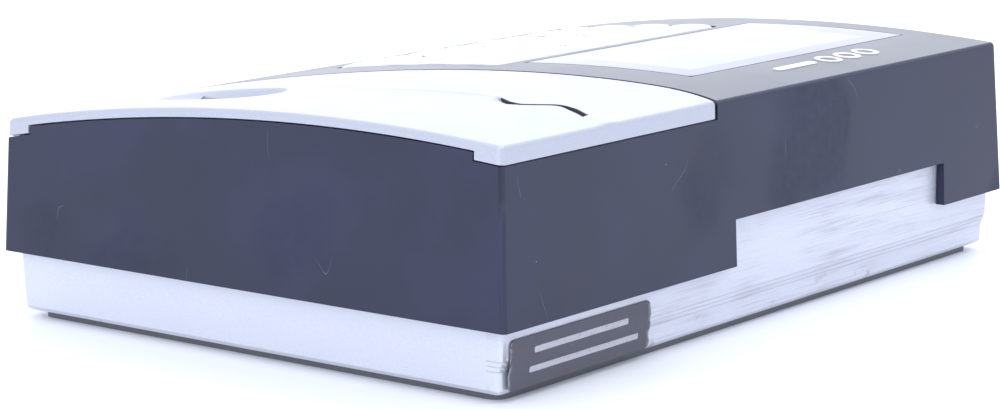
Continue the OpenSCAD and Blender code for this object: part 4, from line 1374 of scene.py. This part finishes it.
@dataclass
class Label:
    """The blank label on the case's top wall, with slightly lifted ends and two plain bars."""

    form: Form
    middle: Pair = (69.85, 7.25)
    length: float = 46.5
    width: float = 10.1
    thickness: float = 0.14
    corner_r: float = 1.3
    wall_y: float = 64.4
    bars: tuple[Triple, ...] = ((0.0, 2.0, 31.0), (1.5, -1.8, 36.0))
    bar_w: float = 1.2

    def face(self, x: Array, z: Array) -> Array:
        """How far the label stands from the wall: it bends in over the steps, and its ends lift."""
        near = np.abs(x - self.middle[0]) / (self.length / 2)
        lift = 0.10 * ease(near, 0.93, 1.0) * (1 + np.sin(z * 2.1))
        return -0.55 * (1 - ease(z, 4.6, 8.6)) + lift + 0.03 * np.sin(x * 0.55) + 0.16

    def upright(self, points: Array) -> Array:
        """Stand a flat piece up against the wall: its Y becomes Z and its height goes to +Y."""
        x, z, out = points.T
        return np.c_[2 * self.middle[0] - x, self.wall_y + out, z]

    def sheet(self, name: str, middle: Pair, length: float, width: float, radius: float,
              low: float, high: float) -> bpy.types.Object:
        """A thin round-cornered sheet that follows the label's bend.

        Args:
            name: the piece's name.
            middle: its middle on the wall.
            length: its length along X.
            width: its width along Z.
            radius: its corner radius.
            low: where its back lies above the label's own line.
            high: where its face lies.

        Returns:
            The new object.
        """
        rim = (high - low) * 0.4
        rows = bunched(middle[1] - width / 2 + rim, middle[1] + width / 2 - rim, radius, 0.5, 4)
        pull = corner_inset(np.minimum(rows - rows[0], rows[-1] - rows), radius)
        across = middle[0] + (length / 2 - rim - pull)[:, None] * spread(-1, 1, 61)[None, :]
        mirror = 2 * self.middle[0]
        slab = Slab(rows, across, lambda x, z: self.face(mirror - x, z) + high,
                    lambda x, z: self.face(mirror - x, z) + low, rim, 2)
        return slab.build(name, self.upright)

    def build(self) -> None:
        """Make the label and its bars, and dress them."""
        label = self.sheet("label_sheet", self.middle, self.length - 0.1, self.width - 0.1,
                           self.corner_r, 0, self.thickness)
        dress(settle(label), Finish.LABEL, "terminal", "side_label")
        for k, (dx, dz, length) in enumerate(self.bars, 1):
            middle = (self.middle[0] + dx, self.middle[1] + dz)
            bar = self.sheet(f"label_bar_{k}", middle, length, self.bar_w, 0.3,
                             self.thickness - 0.02, self.thickness + 0.03)
            dress(settle(bar), Finish.LABEL_BAR, "terminal")


class NodeFinish(Enum):
    """The finish of each CAD node that shows as it is."""

    PLATE = (Finish.PLATE, ("wall_plate",))
    SHEET = (Finish.SHEET, ("display_frame", "network_jack", "usb_socket", "clock_battery"))
    SCREW = (Finish.SCREW, ("case_screws", "board_screws", "inner_screws", "security_screw"))
    PANEL = (Finish.PANEL, ("display_panel",))
    BOARD = (Finish.BOARD, ("display_board", "keypad_board", "main_board", "sensor_board"))
    SILICONE = (Finish.SILICONE, ("keypad_mat",))
    CHIP = (Finish.CHIP, ("board_chips", "power_inlet", "battery_holder", "buzzer", "sensor_frame",
                          "sensor_lens", "tamper_switch", "reset_switch"))
    SLEEVE = (Finish.SLEEVE, ("board_capacitors",))
    RELAY = (Finish.RELAY, ("lock_relay",))
    TERMINAL = (Finish.TERMINAL, ("terminal_blocks",))
    SPEAKER = (Finish.SPEAKER, ("speaker",))
    PLUNGER = (Finish.PLUNGER, ("tamper_plunger", "reset_button"))
    GLASS = (Finish.GLASS, ("sensor_glass",))
    LIGHT = (Finish.LIGHT, ("sensor_lights", "status_lights"))
    RIBBON = (Finish.RIBBON, ("keypad_ribbon", "display_ribbon", "sensor_ribbon"))
    MARK = (Finish.MARK, ("front_mark",))


def dress(piece: bpy.types.Object, finish: Finish, body: str, *replaced: str) -> None:
    """Give a piece its finish and body, and hide the CAD nodes that it stands for.

    Args:
        piece: the piece.
        finish: its finish.
        body: the CAD body that it rides on.
        *replaced: CAD nodes that it stands for.
    """
    piece.data.materials.clear()
    piece.data.materials.append(finish.material())
    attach(piece, body)
    if replaced:
        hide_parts(*replaced)
    log.info("%s: %s, rides on %s", piece.name, finish.value[0], body)


def dress_nodes() -> None:
    """Give every CAD node that shows as it is a finish of its own."""
    for row in NodeFinish:
        finish, names = row.value
        for name in names:
            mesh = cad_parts[name].data
            mesh.materials.clear()
            mesh.materials.append(finish.material())


# ---------------------------------------------------------------- room


@dataclass
class Room:
    """The white table, soft lights and the camera."""

    eye: Triple = (0.519214, 0.386985, 0.136518)
    azimuth: float = 127.172
    elevation: float = 10.013
    lens: float = 105.54
    shift: Pair = (-0.00647, -0.02075)
    sky: Triple = (0.84, 0.88, 1.0)
    sky_strength: float = 1.22
    reach: float = 3.0

    def camera(self) -> None:
        """Stand the camera at the eye, level across its frame."""
        data = bpy.data.cameras.new("camera")
        data.lens, data.sensor_width = self.lens, 36.0
        data.shift_x, data.shift_y = self.shift
        data.clip_start, data.clip_end = 0.01, 20.0
        a, e = math.radians(self.azimuth), math.radians(self.elevation)
        right = Vector((math.cos(a), math.sin(a), 0))
        back = Vector((math.sin(a) * math.cos(e), -math.cos(a) * math.cos(e), math.sin(e)))
        up = back.cross(right)
        turn = Matrix((right, up, back)).transposed().to_4x4()
        cam = bpy.data.objects.new("camera", data)
        cam.matrix_world = Matrix.Translation(self.eye) @ turn
        bpy.context.scene.collection.objects.link(cam)
        bpy.context.scene.camera = cam

    def light(self, name: str, place: Triple, size: float, power: float) -> None:
        """Hang a square light that faces the terminal."""
        data = bpy.data.lights.new(name, "AREA")
        data.size, data.energy = size, power
        data.color = (0.95, 0.97, 1.0)
        lamp = bpy.data.objects.new(name, data)
        lamp.location = place
        lamp.rotation_euler = (-Vector(place)).to_track_quat("-Z", "Y").to_euler()
        bpy.context.scene.collection.objects.link(lamp)

    def table(self) -> None:
        """Lay the table: a wide plane with a fine paper grain, just under the wall plate."""
        corner = np.array([[-1, -1, 0], [1, -1, 0], [1, 1, 0], [-1, 1, 0]]) * self.reach / MM
        floor = make_mesh("table", corner, [[0, 1, 2, 3]], smooth=False)
        b = Bench("table_white")
        paper = b.noise(260, 3)
        material = b.surface(Base_Color=b.mix(paper * 0.3, (0.93, 0.94, 0.96), (0.90, 0.91, 0.94)),
                             Roughness=0.55 + paper * 0.1)
        floor.data.materials.append(material)

    def build(self) -> None:
        """Set up the table, the light and the camera."""
        scene = bpy.context.scene
        scene.view_settings.view_transform = "Standard"
        world = bpy.data.worlds.new("tent")
        world.use_nodes = True
        back = world.node_tree.nodes["Background"]
        back.inputs[0].default_value = (*self.sky, 1)
        back.inputs[1].default_value = self.sky_strength
        scene.world = world
        self.light("overhead", (-0.2, 0.1, 1.3), 1.4, 9)
        self.light("behind", (-1.3, -0.9, 0.6), 1.2, 5)
        self.light("fore", (1.4, 0.2, 0.7), 1.3, 6)
        self.table()
        self.camera()


def main() -> None:
    """Build the room and every sub-assembly, in order."""
    logging.basicConfig(level=logging.INFO, format="%(name)s: %(message)s")
    Room().build()
    form = Form()
    dress_nodes()
    Housing(form).build()
    Case(form).build()
    Cover(form).build()
    Lens(form).build()
    Keypad(form).build()
    Label(form).build()


if __name__ == "__main__":
    main()
